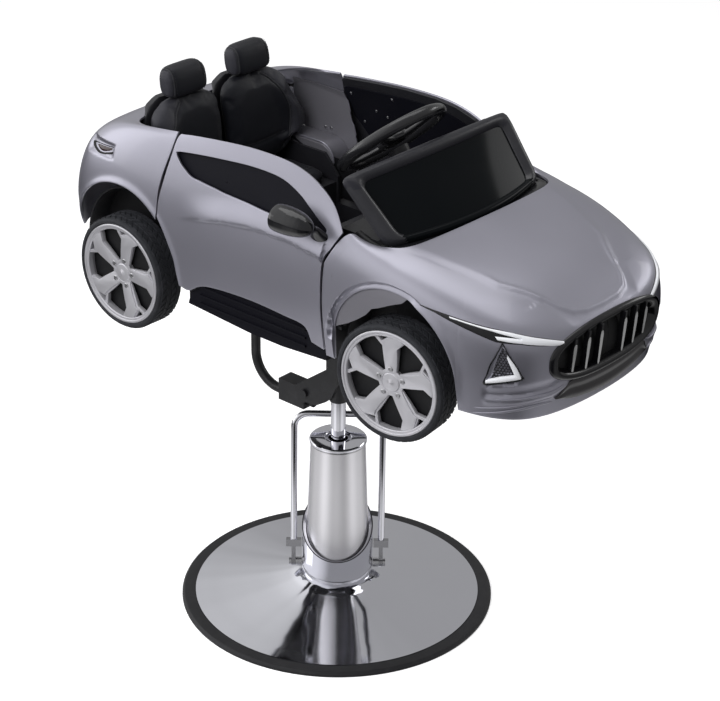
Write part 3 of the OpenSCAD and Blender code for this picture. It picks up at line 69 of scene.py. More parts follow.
def aimCamera():
    a, p, r = (math.radians(studio[k]) for k in ("heading", "pitch", "roll"))
    ahead = Vector((-math.sin(a) * math.cos(p), math.cos(a) * math.cos(p), -math.sin(p)))
    side = Vector((math.cos(a), math.sin(a), 0))
    up = side.cross(ahead)
    x = math.cos(r) * side + math.sin(r) * up
    y = -math.sin(r) * side + math.cos(r) * up
    camera = bpy.data.objects.new("studioCamera", bpy.data.cameras.new("studioCamera"))
    bpy.context.scene.collection.objects.link(camera)
    pose = Matrix((x, y, -ahead)).transposed().to_4x4()
    camera.matrix_world = Matrix.Translation(studio["cameraPlace"]) @ pose
    camera.data.lens = studio["lens"]
    camera.data.sensor_width = studio["sensor"]
    camera.data.clip_end = studio["farClip"]
    bpy.context.scene.camera = camera


# Node trees
def mathOf(kind, swapped=False):
    def work(wire, other):
        pair = (other, wire) if swapped else (wire, other)
        return wire.board.add("ShaderNodeMath", {"operation": kind}, dict(enumerate(pair)))
    return work


class Wire:
    # A socket whose operators add Math nodes to its tree
    def __init__(self, board, socket):
        self.board = board
        self.socket = socket

    __add__ = mathOf("ADD")
    __radd__ = mathOf("ADD", True)
    __sub__ = mathOf("SUBTRACT")
    __rsub__ = mathOf("SUBTRACT", True)
    __mul__ = mathOf("MULTIPLY")
    __rmul__ = mathOf("MULTIPLY", True)
    __truediv__ = mathOf("DIVIDE")


class Board:
    # One node tree, the method that adds a node to it, and the few nodes that are asked for often
    def __init__(self, tree):
        self.tree = tree

    def add(self, kind, settings=None, sockets=None, out=0):
        node = self.tree.nodes.new(kind)
        for key, value in (settings or {}).items():
            if key == "stops":
                ramp = node.color_ramp
                while len(ramp.elements) < len(value):
                    ramp.elements.new(0.5)
                for element, (place, shade) in zip(ramp.elements, value):
                    element.position = place
                    element.color = (shade, shade, shade, 1)
            else:
                setattr(node, key, value)
        for key, value in (sockets or {}).items():
            if isinstance(value, Wire):
                self.tree.links.new(value.socket, node.inputs[key])
            else:
                node.inputs[key].default_value = value
        return Wire(self, node.outputs[out] if node.outputs else None)

    def blend(self, share, first, second):
        return self.add("ShaderNodeMix", {"data_type": "RGBA"},
                        {0: share, 6: (*first, 1), 7: (*second, 1)}, out=2)

    def turnOf(self, place):
        # Angle of a place about Z
        x, y = (self.add("ShaderNodeSeparateXYZ", None, {"Vector": place}, out=k) for k in (0, 1))
        return self.add("ShaderNodeMath", {"operation": "ARCTAN2"}, {0: y, 1: x})

    def sine(self, wire):
        return self.add("ShaderNodeMath", {"operation": "SINE"}, {0: wire})

    def smooth(self, value, fromMin, fromMax, toMin, toMax):
        return self.add("ShaderNodeMapRange", {"interpolation_type": "SMOOTHSTEP"}, {
            "Value": value, "From Min": fromMin, "From Max": fromMax, "To Min": toMin, "To Max": toMax})


# Finishes
class Finish(Board):
    # A material: fixed holds what is the same all over, close wires what changes over the surface
    def __init__(self, name, color, fixed):
        self.material = bpy.data.materials.new(name)
        self.material.use_nodes = True
        super().__init__(self.material.node_tree)
        self.color = color
        self.shader = self.tree.nodes["Principled BSDF"]
        self.fix({"Base Color": (*color, 1), **fixed})
        self.material.diffuse_color = (*color, 1)
        self.place = self.add("ShaderNodeTexCoord", out=3)

    def fix(self, values):
        for key, value in values.items():
            self.shader.inputs[key].default_value = value

    def noise(self, scale, detail=2, rough=0.5):
        return self.add("ShaderNodeTexNoise", None, {
            "Vector": self.place, "Scale": scale, "Detail": detail, "Roughness": rough})

    def ramp(self, value, low, high):
        return self.add("ShaderNodeValToRGB", {"stops": [(low, 0.0), (high, 1.0)]}, {"Fac": value})

    def close(self, tone, share, roughness, height, strength, distance):
        bump = self.add("ShaderNodeBump", None, {
            "Height": height, "Strength": strength, "Distance": distance})
        wires = {"Base Color": self.blend(share, self.color, tone), "Roughness": roughness, "Normal": bump}
        for key, wire in wires.items():
            self.tree.links.new(wire.socket, self.shader.inputs[key])
        return self.material


def lacquer(name, color, tone, metallic, roughness, coat, flake=0.06):
    # Metallic lacquer: fine flakes, slow cloudy change of tone, light orange peel under a clear coat
    f = Finish(name, color, {
        "Metallic": metallic, "Coat Weight": coat, "Coat Roughness": 0.06, "Roughness": roughness})
    flakes = f.noise(2600, 1)
    cloud = f.noise(5, 3)
    return f.close(tone, (flakes - 0.5) * flake * 6 + cloud,
                   roughness + (cloud - 0.5) * 0.1 + (flakes - 0.5) * flake,
                   f.noise(420, 2) * 0.3 + flakes * 0.1, 0.05, 0.0006)


def moulded(name, color, tone, roughness, grain=900, depth=0.25, coat=0.0):
    # Injection-moulded plastic: spark-eroded grain with scuffs that polish it in places
    f = Finish(name, color, {
        "Roughness": roughness, "Coat Weight": coat, "Coat Roughness": 0.1, "Specular IOR Level": 0.45})
    cells = f.add("ShaderNodeTexVoronoi", None, {"Vector": f.place, "Scale": grain})
    scuff = f.ramp(f.noise(14, 6, 0.7), 0.42, 0.75)
    return f.close(tone, scuff * 0.7, roughness - scuff * 0.1 + f.noise(60, 3) * 0.08,
                   cells + f.noise(grain * 1.7, 2) * 0.6, depth, 0.0002)


def polished(name, color, roughness, smear=0.05, rays=0.0):
    # Chrome plate: near mirror, with faint polishing swirls, finger smears and, on the dish, pressed rays
    f = Finish(name, color, {"Metallic": 1.0, "Roughness": roughness})
    swirl = f.noise(3, 5, 0.6)
    fine = f.noise(240, 2)
    height = f.noise(22, 3) * 0.8 + fine * 0.05
    if rays:
        angle = f.turnOf(f.place)
        for count, share in ((9, 1.0), (17, 0.5), (31, 0.2)):
            height = height + f.sine(angle * count + count * 0.7) * (share * rays)
    return f.close(tuple(c * 0.93 for c in color), swirl,
                   roughness + swirl * smear + (fine - 0.5) * 0.02, height, 0.035, 0.0012)


def coated(name, color, tone, roughness, metallic=0.0):
    # Powder-coated steel: orange peel, with rubbed lighter patches
    f = Finish(name, color, {"Roughness": roughness, "Metallic": metallic})
    return f.close(tone, f.ramp(f.noise(30, 6, 0.65), 0.5, 0.8),
                   roughness + (f.noise(90, 3) - 0.5) * 0.15, f.noise(700, 2), 0.25, 0.0003)


def leather(name, color, tone):
    # Grained imitation leather: pebbles with creases between them and soft wrinkles
    f = Finish(name, color, {
        "Roughness": 0.46, "Sheen Weight": 0.03, "Sheen Roughness": 0.5, "Specular IOR Level": 0.3})
    wander = f.add("ShaderNodeTexNoise", None, {"Vector": f.place, "Scale": 160.0}, out=1)
    offset = f.add("ShaderNodeVectorMath", {"operation": "SCALE"}, {0: wander, "Scale": 0.002})
    warp = f.add("ShaderNodeVectorMath", {"operation": "ADD"}, {0: f.place, 1: offset})
    pebble = f.add("ShaderNodeTexVoronoi", {"feature": "DISTANCE_TO_EDGE"}, {"Vector": warp, "Scale": 420})
    crease = f.ramp(pebble, 0.0, 0.16)
    wrinkle = f.noise(26, 4, 0.55)
    return f.close(tone, wrinkle * 0.6 + crease * 0.4, 0.56 - crease * 0.12 + (wrinkle - 0.5) * 0.1,
                   crease * 0.5 + wrinkle * 1.5 + f.noise(1500, 1) * 0.2, 0.3, 0.0004)


def rubber(name, color, tone, roughness=0.72):
    # Dull rubber with dust in its pores
    f = Finish(name, color, {"Roughness": roughness, "Specular IOR Level": 0.35})
    dust = f.ramp(f.noise(38, 5, 0.7), 0.45, 0.8)
    return f.close(tone, dust, roughness + dust * 0.12 - 0.04, f.noise(1100, 3), 0.3, 0.0003)


def glossy(name, color, tone, roughness=0.08, coat=0.6, glow=0.0, shine=0.4):
    # Polished plastic or tinted glass with a few hairline swirls
    f = Finish(name, color, {
        "Roughness": roughness, "Coat Weight": coat, "Coat Roughness": 0.03, "Specular IOR Level": shine})
    swirl = f.noise(9, 5, 0.6)
    # glow is painted light: the surface gives off light of its own colour
    if glow:
        f.fix({"Emission Color": (*color, 1), "Emission Strength": glow})
    return f.close(tone, swirl, roughness + swirl * 0.05, f.noise(16, 2), 0.03, 0.001)


finishes = {
    "body": lacquer("bodyLacquer", (0.328, 0.324, 0.383), (0.374, 0.368, 0.432), 0.72, 0.36, 0.35),
    # Darker copy of the body's lacquer, for the quarter trims and the arch fillers; on the arch fillers it is
    # painted shade
    "quarter": lacquer("quarterLacquer", (0.21, 0.205, 0.235), (0.25, 0.245, 0.275), 0.5, 0.42, 0.25),
    "rim": lacquer("rimLacquer", (0.58, 0.575, 0.615), (0.64, 0.635, 0.675), 0.55, 0.40, 0.3),
    "plastic": moulded("mouldedPlastic", (0.014, 0.014, 0.017), (0.022, 0.022, 0.026), 0.46),
    "trim": moulded("satinTrim", (0.009, 0.009, 0.011), (0.014, 0.014, 0.017), 0.34, 1200, 0.12, 0.1),
    "gloss": glossy("glossBlack", (0.006, 0.006, 0.007), (0.010, 0.010, 0.012), 0.16, 0.2),
    "screen": glossy("tintedScreen", (0.003, 0.004, 0.005), (0.005, 0.006, 0.007), 0.08, 0.0, 0.0, 0.06),
    "steel": coated("coatedSteel", (0.012, 0.012, 0.014), (0.03, 0.03, 0.033), 0.42),
    "bolt": coated("platedBolt", (0.55, 0.55, 0.57), (0.42, 0.42, 0.44), 0.3, 1.0),
    "chrome": polished("chromePlate", (0.78, 0.78, 0.83), 0.04),
    "dish": polished("dishChrome", (0.78, 0.785, 0.84), 0.04, 0.05, 6.0),
    "clamp": polished("clampSteel", (0.36, 0.36, 0.38), 0.16),
    "dullChrome": polished("dullChrome", (0.80, 0.79, 0.82), 0.20, 0.10),
    "leather": leather("grainedLeather", (0.006, 0.006, 0.009), (0.010, 0.011, 0.015)),
    "leatherSide": leather("sideLeather", (0.022, 0.022, 0.028), (0.034, 0.034, 0.042)),
    "wheelGrip": glossy("wheelGrip", (0.012, 0.012, 0.014), (0.018, 0.018, 0.02), 0.24, 0.3),
    "panel": glossy("windowPanel", (0.004, 0.004, 0.007), (0.007, 0.007, 0.010), 0.5, 0.0, 0.0, 0.12),
    "band": moulded("bandPlastic", (0.008, 0.008, 0.013), (0.013, 0.013, 0.019), 0.42, 1300, 0.06, 0.04),
    "piping": leather("leatherPiping", (0.020, 0.020, 0.024), (0.035, 0.036, 0.04)),
    "tyre": rubber("tyreRubber", (0.022, 0.023, 0.027), (0.044, 0.045, 0.052)),
    "ring": rubber("ringRubber", (0.016, 0.016, 0.018), (0.03, 0.03, 0.032), 0.6),
    # Lighter, glossier copy of the windshield frame's black plastic, for its pillars: a painted highlight
    "satin": moulded("litPillarPlastic", (0.016, 0.016, 0.020), (0.024, 0.024, 0.029), 0.36, 1300, 0.08, 0.2),
    "pod": glossy("podBlack", (0.007, 0.007, 0.008), (0.010, 0.010, 0.012), 0.10, 0.25),
    "lipGloss": glossy("lipBlack", (0.026, 0.023, 0.026), (0.034, 0.031, 0.034), 0.18, 0.4),
    "bright": polished("brightFace", (0.72, 0.72, 0.72), 0.22),
    "glass": polished("mirrorGlass", (0.50, 0.52, 0.54), 0.02, 0.02),
    # White lens finish with a faint glow: painted light, since nothing lights these lenses and blades
    "lamp": glossy("glowingWhite", (0.86, 0.87, 0.90), (0.80, 0.81, 0.86), 0.18, 0.8, 0.12),
    "tail": glossy("tailRed", (0.020, 0.002, 0.003), (0.012, 0.001, 0.002), 0.12, 0.1),
    # Darkest black, darker than the moulded plastic: painted shade, used in cavities and behind parts
    "dark": moulded("shadeBlack", (0.004, 0.004, 0.005), (0.007, 0.007, 0.008), 0.6),
}
print("finishes made:", len(finishes))


# Mesh helpers, in millimetres
def softShade(mesh, degrees=35):
    mesh.shade_smooth()
    mesh.set_sharp_from_angle(angle=math.radians(degrees))


def makePiece(name, points, faces, finish, degrees=35):
    mesh = bpy.data.meshes.new(name)
    mesh.from_pydata((np.asarray(points, float).reshape(-1, 3) / 1000).tolist(), [],
                     [[int(i) for i in face] for face in faces])
    mesh.materials.append(finishes[finish])
    shape = bmesh.new()
    shape.from_mesh(mesh)
    bmesh.ops.remove_doubles(shape, verts=shape.verts, dist=2e-6)
    bmesh.ops.dissolve_degenerate(shape, edges=shape.edges, dist=1e-6)
    bmesh.ops.recalc_face_normals(shape, faces=shape.faces)
    shape.to_mesh(mesh)
    shape.free()
    softShade(mesh, degrees)
    piece = bpy.data.objects.new(name, mesh)
    bpy.context.scene.collection.objects.link(piece)
    return piece


def bake(piece, degrees=35):
    # Turns the piece with its modifiers into a plain mesh
    graph = bpy.context.evaluated_depsgraph_get()
    mesh = bpy.data.meshes.new_from_object(piece.evaluated_get(graph), depsgraph=graph)
    piece.modifiers.clear()
    piece.data = mesh
    softShade(mesh, degrees)
    return piece


def roundEdges(piece, width, steps=3, above=40, degrees=35):
    bevel = piece.modifiers.new("edges", "BEVEL")
    bevel.width = width / 1000
    bevel.segments = steps
    bevel.limit_method = "ANGLE"
    bevel.angle_limit = math.radians(above)
    bevel.harden_normals = False
    return bake(piece, degrees)


def settle(piece, body, slot, *replaced):
    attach(piece, body)
    if replaced:
        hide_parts(*replaced)
    return piece


def put(name, part, finish, slot, *replaced, body="chair", degrees=35):
    return settle(makePiece(name, *part, finish, degrees), body, slot, *replaced)


def merged(parts):
    # Joins several (points, faces) into one
    points, faces, start = [], [], 0
    for p, f in parts:
        p = np.asarray(p, float).reshape(-1, 3)
        points.append(p)
        faces += [[i + start for i in face] for face in f]
        start += len(p)
    return np.concatenate(points), faces


def sheetOf(outer, inner, ring=False):
    rows, cols = outer.shape[:2]
    n = rows * cols
    wrap = cols if ring else cols - 1
    faces = []
    for i in range(rows - 1):
        for j in range(wrap):
            a, b = i * cols + j, i * cols + (j + 1) % cols
            faces += [(a, b, b + cols, a + cols), (n + a, n + a + cols, n + b + cols, n + b)]
    for j in range(wrap):
        a, b = j, (j + 1) % cols
        p, q = (rows - 1) * cols + a, (rows - 1) * cols + b
        faces += [(b, a, n + a, n + b), (p, q, n + q, n + p)]
    if not ring:
        for i in range(rows - 1):
            p, q = i * cols, (i + 1) * cols
            faces += [(p, q, n + q, n + p), (q + cols - 1, p + cols - 1, n + p + cols - 1, n + q + cols - 1)]
    return np.concatenate([outer.reshape(-1, 3), inner.reshape(-1, 3)]), faces


def loftOf(rings, closed=False):
    # rings: (stations, points round, 3); ends are capped unless the loft is closed on itself
    count, around = rings.shape[:2]
    faces = []
    for i in range(count if closed else count - 1):
        for j in range(around):
            a, b = i * around + j, i * around + (j + 1) % around
            c, d = ((i + 1) % count) * around + (j + 1) % around, ((i + 1) % count) * around + j
            faces.append((a, b, c, d))
    if not closed:
        faces += [list(range(around))[::-1], [(count - 1) * around + j for j in range(around)]]
    return rings.reshape(-1, 3), faces


def circle(count):
    return np.linspace(0, 2 * np.pi, count, endpoint=False)


def lathe(profile, steps=192):
    # Closed outline of (radius, height) turned about Z
    profile = np.asarray(profile, float)
    rings = np.stack([np.stack([profile[:, 0] * np.cos(t), profile[:, 0] * np.sin(t), profile[:, 1]], -1)
                      for t in circle(steps)])
    return loftOf(rings, closed=True)


def readOff(table, at):
    # Every other column of a table, interpolated by its first
    table = np.asarray(table, float)
    return [np.interp(at, table[:, 0], column) for column in table[:, 1:].T]


def unit(vector):
    return vector / np.linalg.norm(vector)


def squared(a, power):
    # A circle's cosine and sine, swelled towards a square
    return tuple(np.sign(c) * np.abs(c) ** power for c in (np.cos(a), np.sin(a)))


def scaled(loop, centre, share):
    return centre + (loop - centre) * share


def cornerAt(t, start, corner, end):
    return (1 - t) ** 2 * start + 2 * t * (1 - t) * corner + t * t * end


def filleted(outline, radius, steps=4):
    # Rounds each corner of a closed outline; radius may be one number or one for each corner
    outline = np.asarray(outline, float)
    count = len(outline)
    radii = [radius] * count if np.isscalar(radius) else radius
    made = []
    for k in range(count):
        here, before, after = outline[k], outline[k - 1], outline[(k + 1) % count]
        back, ahead = before - here, after - here
        lb, la = np.linalg.norm(back), np.linalg.norm(ahead)
        back, ahead = back / lb, ahead / la
        half = math.acos(np.clip(back @ ahead, -1, 1)) / 2
        if radii[k] <= 0 or half > 1.55 or half < 0.02:
            made.append(here)
            continue
        cut = min(radii[k] / math.tan(half), lb * 0.45, la * 0.45)
        made += [cornerAt(s / steps, here + back * cut, here, here + ahead * cut) for s in range(steps + 1)]
    return np.array(made)


def runOf(path):
    # Length run from the path's start to each of its points
    return np.concatenate([[0], np.cumsum(np.linalg.norm(np.diff(path, axis=0), axis=1))])


def resampled(path, count, closed=False):
    path = np.asarray(path, float)
    run = runOf(path)
    at = np.linspace(0, run[-1], count, endpoint=not closed)
    return np.stack([np.interp(at, run, path[:, k]) for k in range(path.shape[1])], -1)


def overrun(p):
    # The row of points with one more at each end, straight on
    return np.concatenate([2 * p[:1] - p[1:2], p, 2 * p[-1:] - p[-2:-1]])


def curveBit(p, k, steps):
    # Catmull-Rom curve from point k of p to the next
    t = np.linspace(0, 1, steps, endpoint=False)[:, None]
    return 0.5 * (2 * p[k] + (p[k + 1] - p[k - 1]) * t
                  + (2 * p[k - 1] - 5 * p[k] + 4 * p[k + 1] - p[k + 2]) * t ** 2
                  + (3 * p[k] - p[k - 1] - 3 * p[k + 1] + p[k + 2]) * t ** 3)


def smoothPath(points, count, closed=False):
    # Curve through the points, evenly stepped along its length
    p = np.asarray(points, float)
    p = np.concatenate([p[-1:], p, p[:2]]) if closed else overrun(p)
    bits = [curveBit(p, k, 24) for k in range(1, len(p) - 2)]
    return resampled(np.concatenate(bits + [p[-2:-1]]), count, closed)


def tubeOf(path, radius, around=20, closed=False):
    # A round bar along a path, with its frame carried along
    path = np.asarray(path, float)
    count = len(path)
    if closed:
        ahead = np.roll(path, -1, 0) - np.roll(path, 1, 0)
    else:
        ahead = np.gradient(path, axis=0)
    ahead /= np.linalg.norm(ahead, axis=1)[:, None]
    first = np.cross(ahead[0], [0, 0, 1])
    if np.linalg.norm(first) < 0.1:
        first = np.cross(ahead[0], [0, 1, 0])
    side = [unit(first)]
    for k in range(1, count):
        side.append(unit(side[-1] - ahead[k] * (side[-1] @ ahead[k])))
    side = np.array(side)
    up = np.cross(ahead, side)
    radius = np.broadcast_to(radius, count)
    turn = circle(around)
    rings = (path[:, None] + radius[:, None, None] * (np.cos(turn)[None, :, None] * side[:, None]
             + np.sin(turn)[None, :, None] * up[:, None]))
    return loftOf(rings, closed)


def plateOf(outline, low, high):
    # A flat plate: outline of (a, b), between two heights, as (a, b, height)
    outline = np.asarray(outline, float)
    n = len(outline)
    points = np.concatenate([np.column_stack([outline, np.full(n, low)]),
                             np.column_stack([outline, np.full(n, high)])])
    faces = [list(range(n))[::-1], list(range(n, 2 * n))]
    faces += [(k, (k + 1) % n, n + (k + 1) % n, n + k) for k in range(n)]
    return points, faces


# Body surface, the same net of points as the part's source
bodySize = {"middleX": 68, "length": 1120, "width": 550, "lowZ": 660, "height": 350,
            "skin": 4, "panelGap": 3}
railShares = [
    [[0.009, 0, 0.234], [0.009, 0.473, 0.234], [0.020, 0.844, 0.234], [0.082, 0.909, 0.214],
     [0.198, 0.924, 0.149], [0.319, 0.909, 0.086], [0.439, 0.902, 0.074], [0.560, 0.909, 0.074],
     [0.680, 0.931, 0.080], [0.796, 0.931, 0.074], [0.886, 0.895, 0.051], [0.963, 0.713, 0.029],
     [0.980, 0.327, 0.017], [0.982, 0, 0.014]],
    [[-0.002, 0, 0.400], [-0.001, 0.509, 0.400], [0.013, 0.891, 0.394], [0.082, 0.975, 0.389],
     [0.198, 0.993, 0.377], [0.319, 0.953, 0.360], [0.439, 0.945, 0.354], [0.560, 0.960, 0.354],
     [0.680, 0.996, 0.360], [0.796, 1.000, 0.349], [0.890, 0.931, 0.326], [0.975, 0.756, 0.303],
     [0.999, 0.382, 0.286], [1.000, 0, 0.280]],
    [[0.002, 0, 0.594], [0.004, 0.502, 0.594], [0.020, 0.858, 0.594], [0.086, 0.945, 0.629],
     [0.198, 0.960, 0.629], [0.319, 0.935, 0.606], [0.439, 0.924, 0.600], [0.560, 0.931, 0.600],
     [0.680, 0.975, 0.606], [0.796, 0.982, 0.577], [0.888, 0.909, 0.520], [0.964, 0.745, 0.474],
     [0.992, 0.382, 0.449], [0.994, 0, 0.440]],
    [[0.016, 0, 0.737], [0.021, 0.480, 0.743], [0.043, 0.807, 0.760], [0.096, 0.884, 0.806],
     [0.198, 0.895, 0.814], [0.319, 0.873, 0.786], [0.439, 0.865, 0.777], [0.560, 0.873, 0.760],
     [0.676, 0.924, 0.720], [0.789, 0.924, 0.666], [0.877, 0.844, 0.583], [0.944, 0.676, 0.526],
     [0.971, 0.345, 0.497], [0.975, 0, 0.489]],
    [[0.064, 0, 0.846], [0.070, 0.429, 0.851], [0.087, 0.727, 0.863], [0.125, 0.815, 0.897],
     [0.205, 0.833, 0.929], [0.319, 0.829, 0.890], [0.439, 0.818, 0.905], [0.570, 0.829, 0.885],
     [0.658, 0.869, 0.725], [0.754, 0.778, 0.726], [0.814, 0.673, 0.686], [0.859, 0.509, 0.657],
     [0.884, 0.262, 0.640], [0.890, 0, 0.634]],
    [[0.125, 0, 0.886], [0.127, 0.400, 0.889], [0.138, 0.673, 0.894], [0.164, 0.778, 0.906],
     [0.216, 0.807, 0.931], [0.319, 0.789, 0.970], [0.439, 0.775, 1.006], [0.578, 0.789, 0.990],
     [0.643, 0.840, 0.703], [0.734, 0.800, 0.734], [0.739, 0.582, 0.729], [0.741, 0.345, 0.729],
     [0.743, 0.164, 0.731], [0.744, 0, 0.734]]]


def makeNet():
    s = np.array(railShares)
    p = np.stack([bodySize["middleX"] + bodySize["length"] * (s[..., 0] - 0.5),
                  bodySize["width"] / 2 * s[..., 1],
                  bodySize["lowZ"] + bodySize["height"] * s[..., 2]], -1)
    p = np.concatenate([p[:, 1:2] * mirrorY, p, p[:, -2:-1] * mirrorY], 1)
    return overrun(p)


net = makeNet()
lastStation, lastRail = 13, 5


def weights(t):
    # Cubic B-spline weights of the four net points round t
    return np.stack([(1 - t) ** 3, 3 * t ** 3 - 6 * t ** 2 + 4,
                     -3 * t ** 3 + 3 * t ** 2 + 3 * t + 1, t ** 3], -1) / 6


def skinAt(u, v):
    u, v = np.broadcast_arrays(np.asarray(u, float), np.asarray(v, float))
    i = np.clip(np.floor(u), 0, lastStation - 1).astype(int)
    j = np.clip(np.floor(v), 0, lastRail - 1).astype(int)
    a, b = weights(u - i), weights(v - j)
    return sum((b[..., q] * a[..., p])[..., None] * net[j + q, i + p] for q in range(4) for p in range(4))


def facing(u, v):
    e = 0.02
    u, v = np.broadcast_arrays(np.clip(u, e, lastStation - e), np.clip(v, e, lastRail - e))
    n = np.cross(skinAt(u, v + e) - skinAt(u, v - e), skinAt(u + e, v) - skinAt(u - e, v))
    return n / np.linalg.norm(n, axis=-1)[..., None]


def halve(below, low, high, steps=18):
    # Vectorised bisection: below(m) says where m has to grow
    for _ in range(steps):
        m = (low + high) / 2
        grow = below(m)
        low, high = np.where(grow, m, low), np.where(grow, high, m)
    return (low + high) / 2


def stationAtX(x, v):
    x, v = np.broadcast_arrays(np.asarray(x, float), np.asarray(v, float))
    return halve(lambda m: skinAt(m, v)[..., 0] < x, np.zeros(x.shape), np.full(x.shape, float(lastStation)))


def railAtZ(z, u):
    z, u = np.broadcast_arrays(np.asarray(z, float), np.asarray(u, float))
    return halve(lambda m: skinAt(u, m)[..., 2] < z, np.zeros(z.shape), np.full(z.shape, float(lastRail)))


def sideShares(x, z):
    u = stationAtX(x, 2.5)
    u = stationAtX(x, railAtZ(z, u))
    return u, railAtZ(z, u)


def noseShares(y, z):
    y, z = np.broadcast_arrays(np.abs(np.asarray(y, float)), np.asarray(z, float))
    v = np.full(y.shape, 1.5)
    for _ in range(3):
        u = halve(lambda m: skinAt(m, v)[..., 1] > y, np.full(y.shape, 6.5),
                  np.full(y.shape, float(lastStation)))
        v = railAtZ(z, u)
    return u, v


def surfacePlace(u, v, lift, side=-1):
    # Place over the smooth surface, without what is pressed into it; side -1 is the car's right
    u, v = np.broadcast_arrays(np.asarray(u, float), np.asarray(v, float))
    return (skinAt(u, v) + np.asarray(lift)[..., None] * facing(u, v)) * np.array([1, side, 1])


def onto(u, v, lift):
    # Place on the dressed surface of the car's right side
    return surfacePlace(u, v, lift + relief(skinAt(u, v)))


def sidePlaces(spots, lift, side=-1):
    # Places over (x, z) spots of the car's side
    return surfacePlace(*sideShares(spots[..., 0], spots[..., 1]), lift, side)


# Creases, flares and recesses pressed into the panels, in millimetres
pressed = {
    # Pairs for climb hold its start and length; fours for hump hold start, rise, stop and fall
    "grilleHalfW": 147.4, "grilleHalfH": 43.4, "grilleZ": 771.3, "grilleDeep": 15, "grilleFrom": 480,
    "grilleEdge": (0.93, 0.06),
    "creaseX": [320, 367, 402, 430, 486, 526, 548, 571, 586, 594, 596],
    "creaseY": [188, 173, 165, 156, 144, 114, 102, 89, 73, 45, 0],
    "creaseTurnX": 548, "creaseHigh": 1.7, "creaseWide": 4.5, "creaseLean": 0.9, "creaseFrom": (440, 80),
    "hoodFrom": (300, 40), "hoodLow": 812, "bandX": [330, 560], "bandWide": [26, 12], "bandDeep": 1.5,
    "beltX": [-170, -130, -53, 15, 100, 205], "beltZ": [842, 851, 866, 875, 877, 870], "beltStep": 6.4,
    "beltHump": (-2, 4, 0, 52), "beltFrom": (-175, 120), "beltTo": 190, "sideFrom": 150,
    "archLip": 2.4, "archLipWide": 8, "archLow": 690,
    "archPlaces": [(-312, 731.1, 138), (350, 727.1, 134)],
    "flapR": 146, "flapDeep": 8, "flapTurns": (62, 14, 176, 6), "flapFrom": 180, "flapEdge": 3,
    "noseFrom": 478,
    "scoopY": [113, 128, 143, 171, 194, 212, 227], "scoopZ": [727, 721, 717, 716, 714, 713, 712],
    "scoopDeep": 4.5, "scoopHollow": (-2, 9, 8, 24), "scoopLip": 2.4, "scoopEdge": (-16, 12, 0, 8),
    "scoopFromX": (526, 10), "scoopFromY": (104, 10),
    "lineY": [130, 169, 199, 222, 234, 242],
    "lineZ": [[705, 704, 699, 694, 691, 691], [695, 696, 691, 684, 680, 681]],
    "lineSink": 2.6, "lineStart": (0, 0.12), "lineStop": (0.9, 0.1),
    "ventZ": [736, 756, 780, 797, 812], "ventOut": [234, 232, 230, 226.5, 221],
    "ventIn": [206, 200, 208, 213, 218], "ventDeep": 5, "ventEdge": 3,
    "ventHump": (738, 4, 808, 6),
    "tailSink": 3.5, "tailHump": (-425, 12, -348, 10), "tailFrom": 200, "tailLow": (905, 6),
    "tailHigh": (930, 5), "tailLean": (-410, 0.02),
}


def ease(t):
    t = np.clip(t, 0, 1)
    return t * t * (3 - 2 * t)


def ovalPower(y, z, halfW, halfH, power=2.6):
    return (np.abs(y / halfW) ** power + np.abs(z / halfH) ** power) ** (1 / power)


def climb(t, start, length):
    return ease((t - start) / length)


def hump(t, start, rise, stop, fall):
    return climb(t, start, rise) * (1 - climb(t, stop, fall))


def bell(t, wide):
    return np.exp(-(t / wide) ** 2)


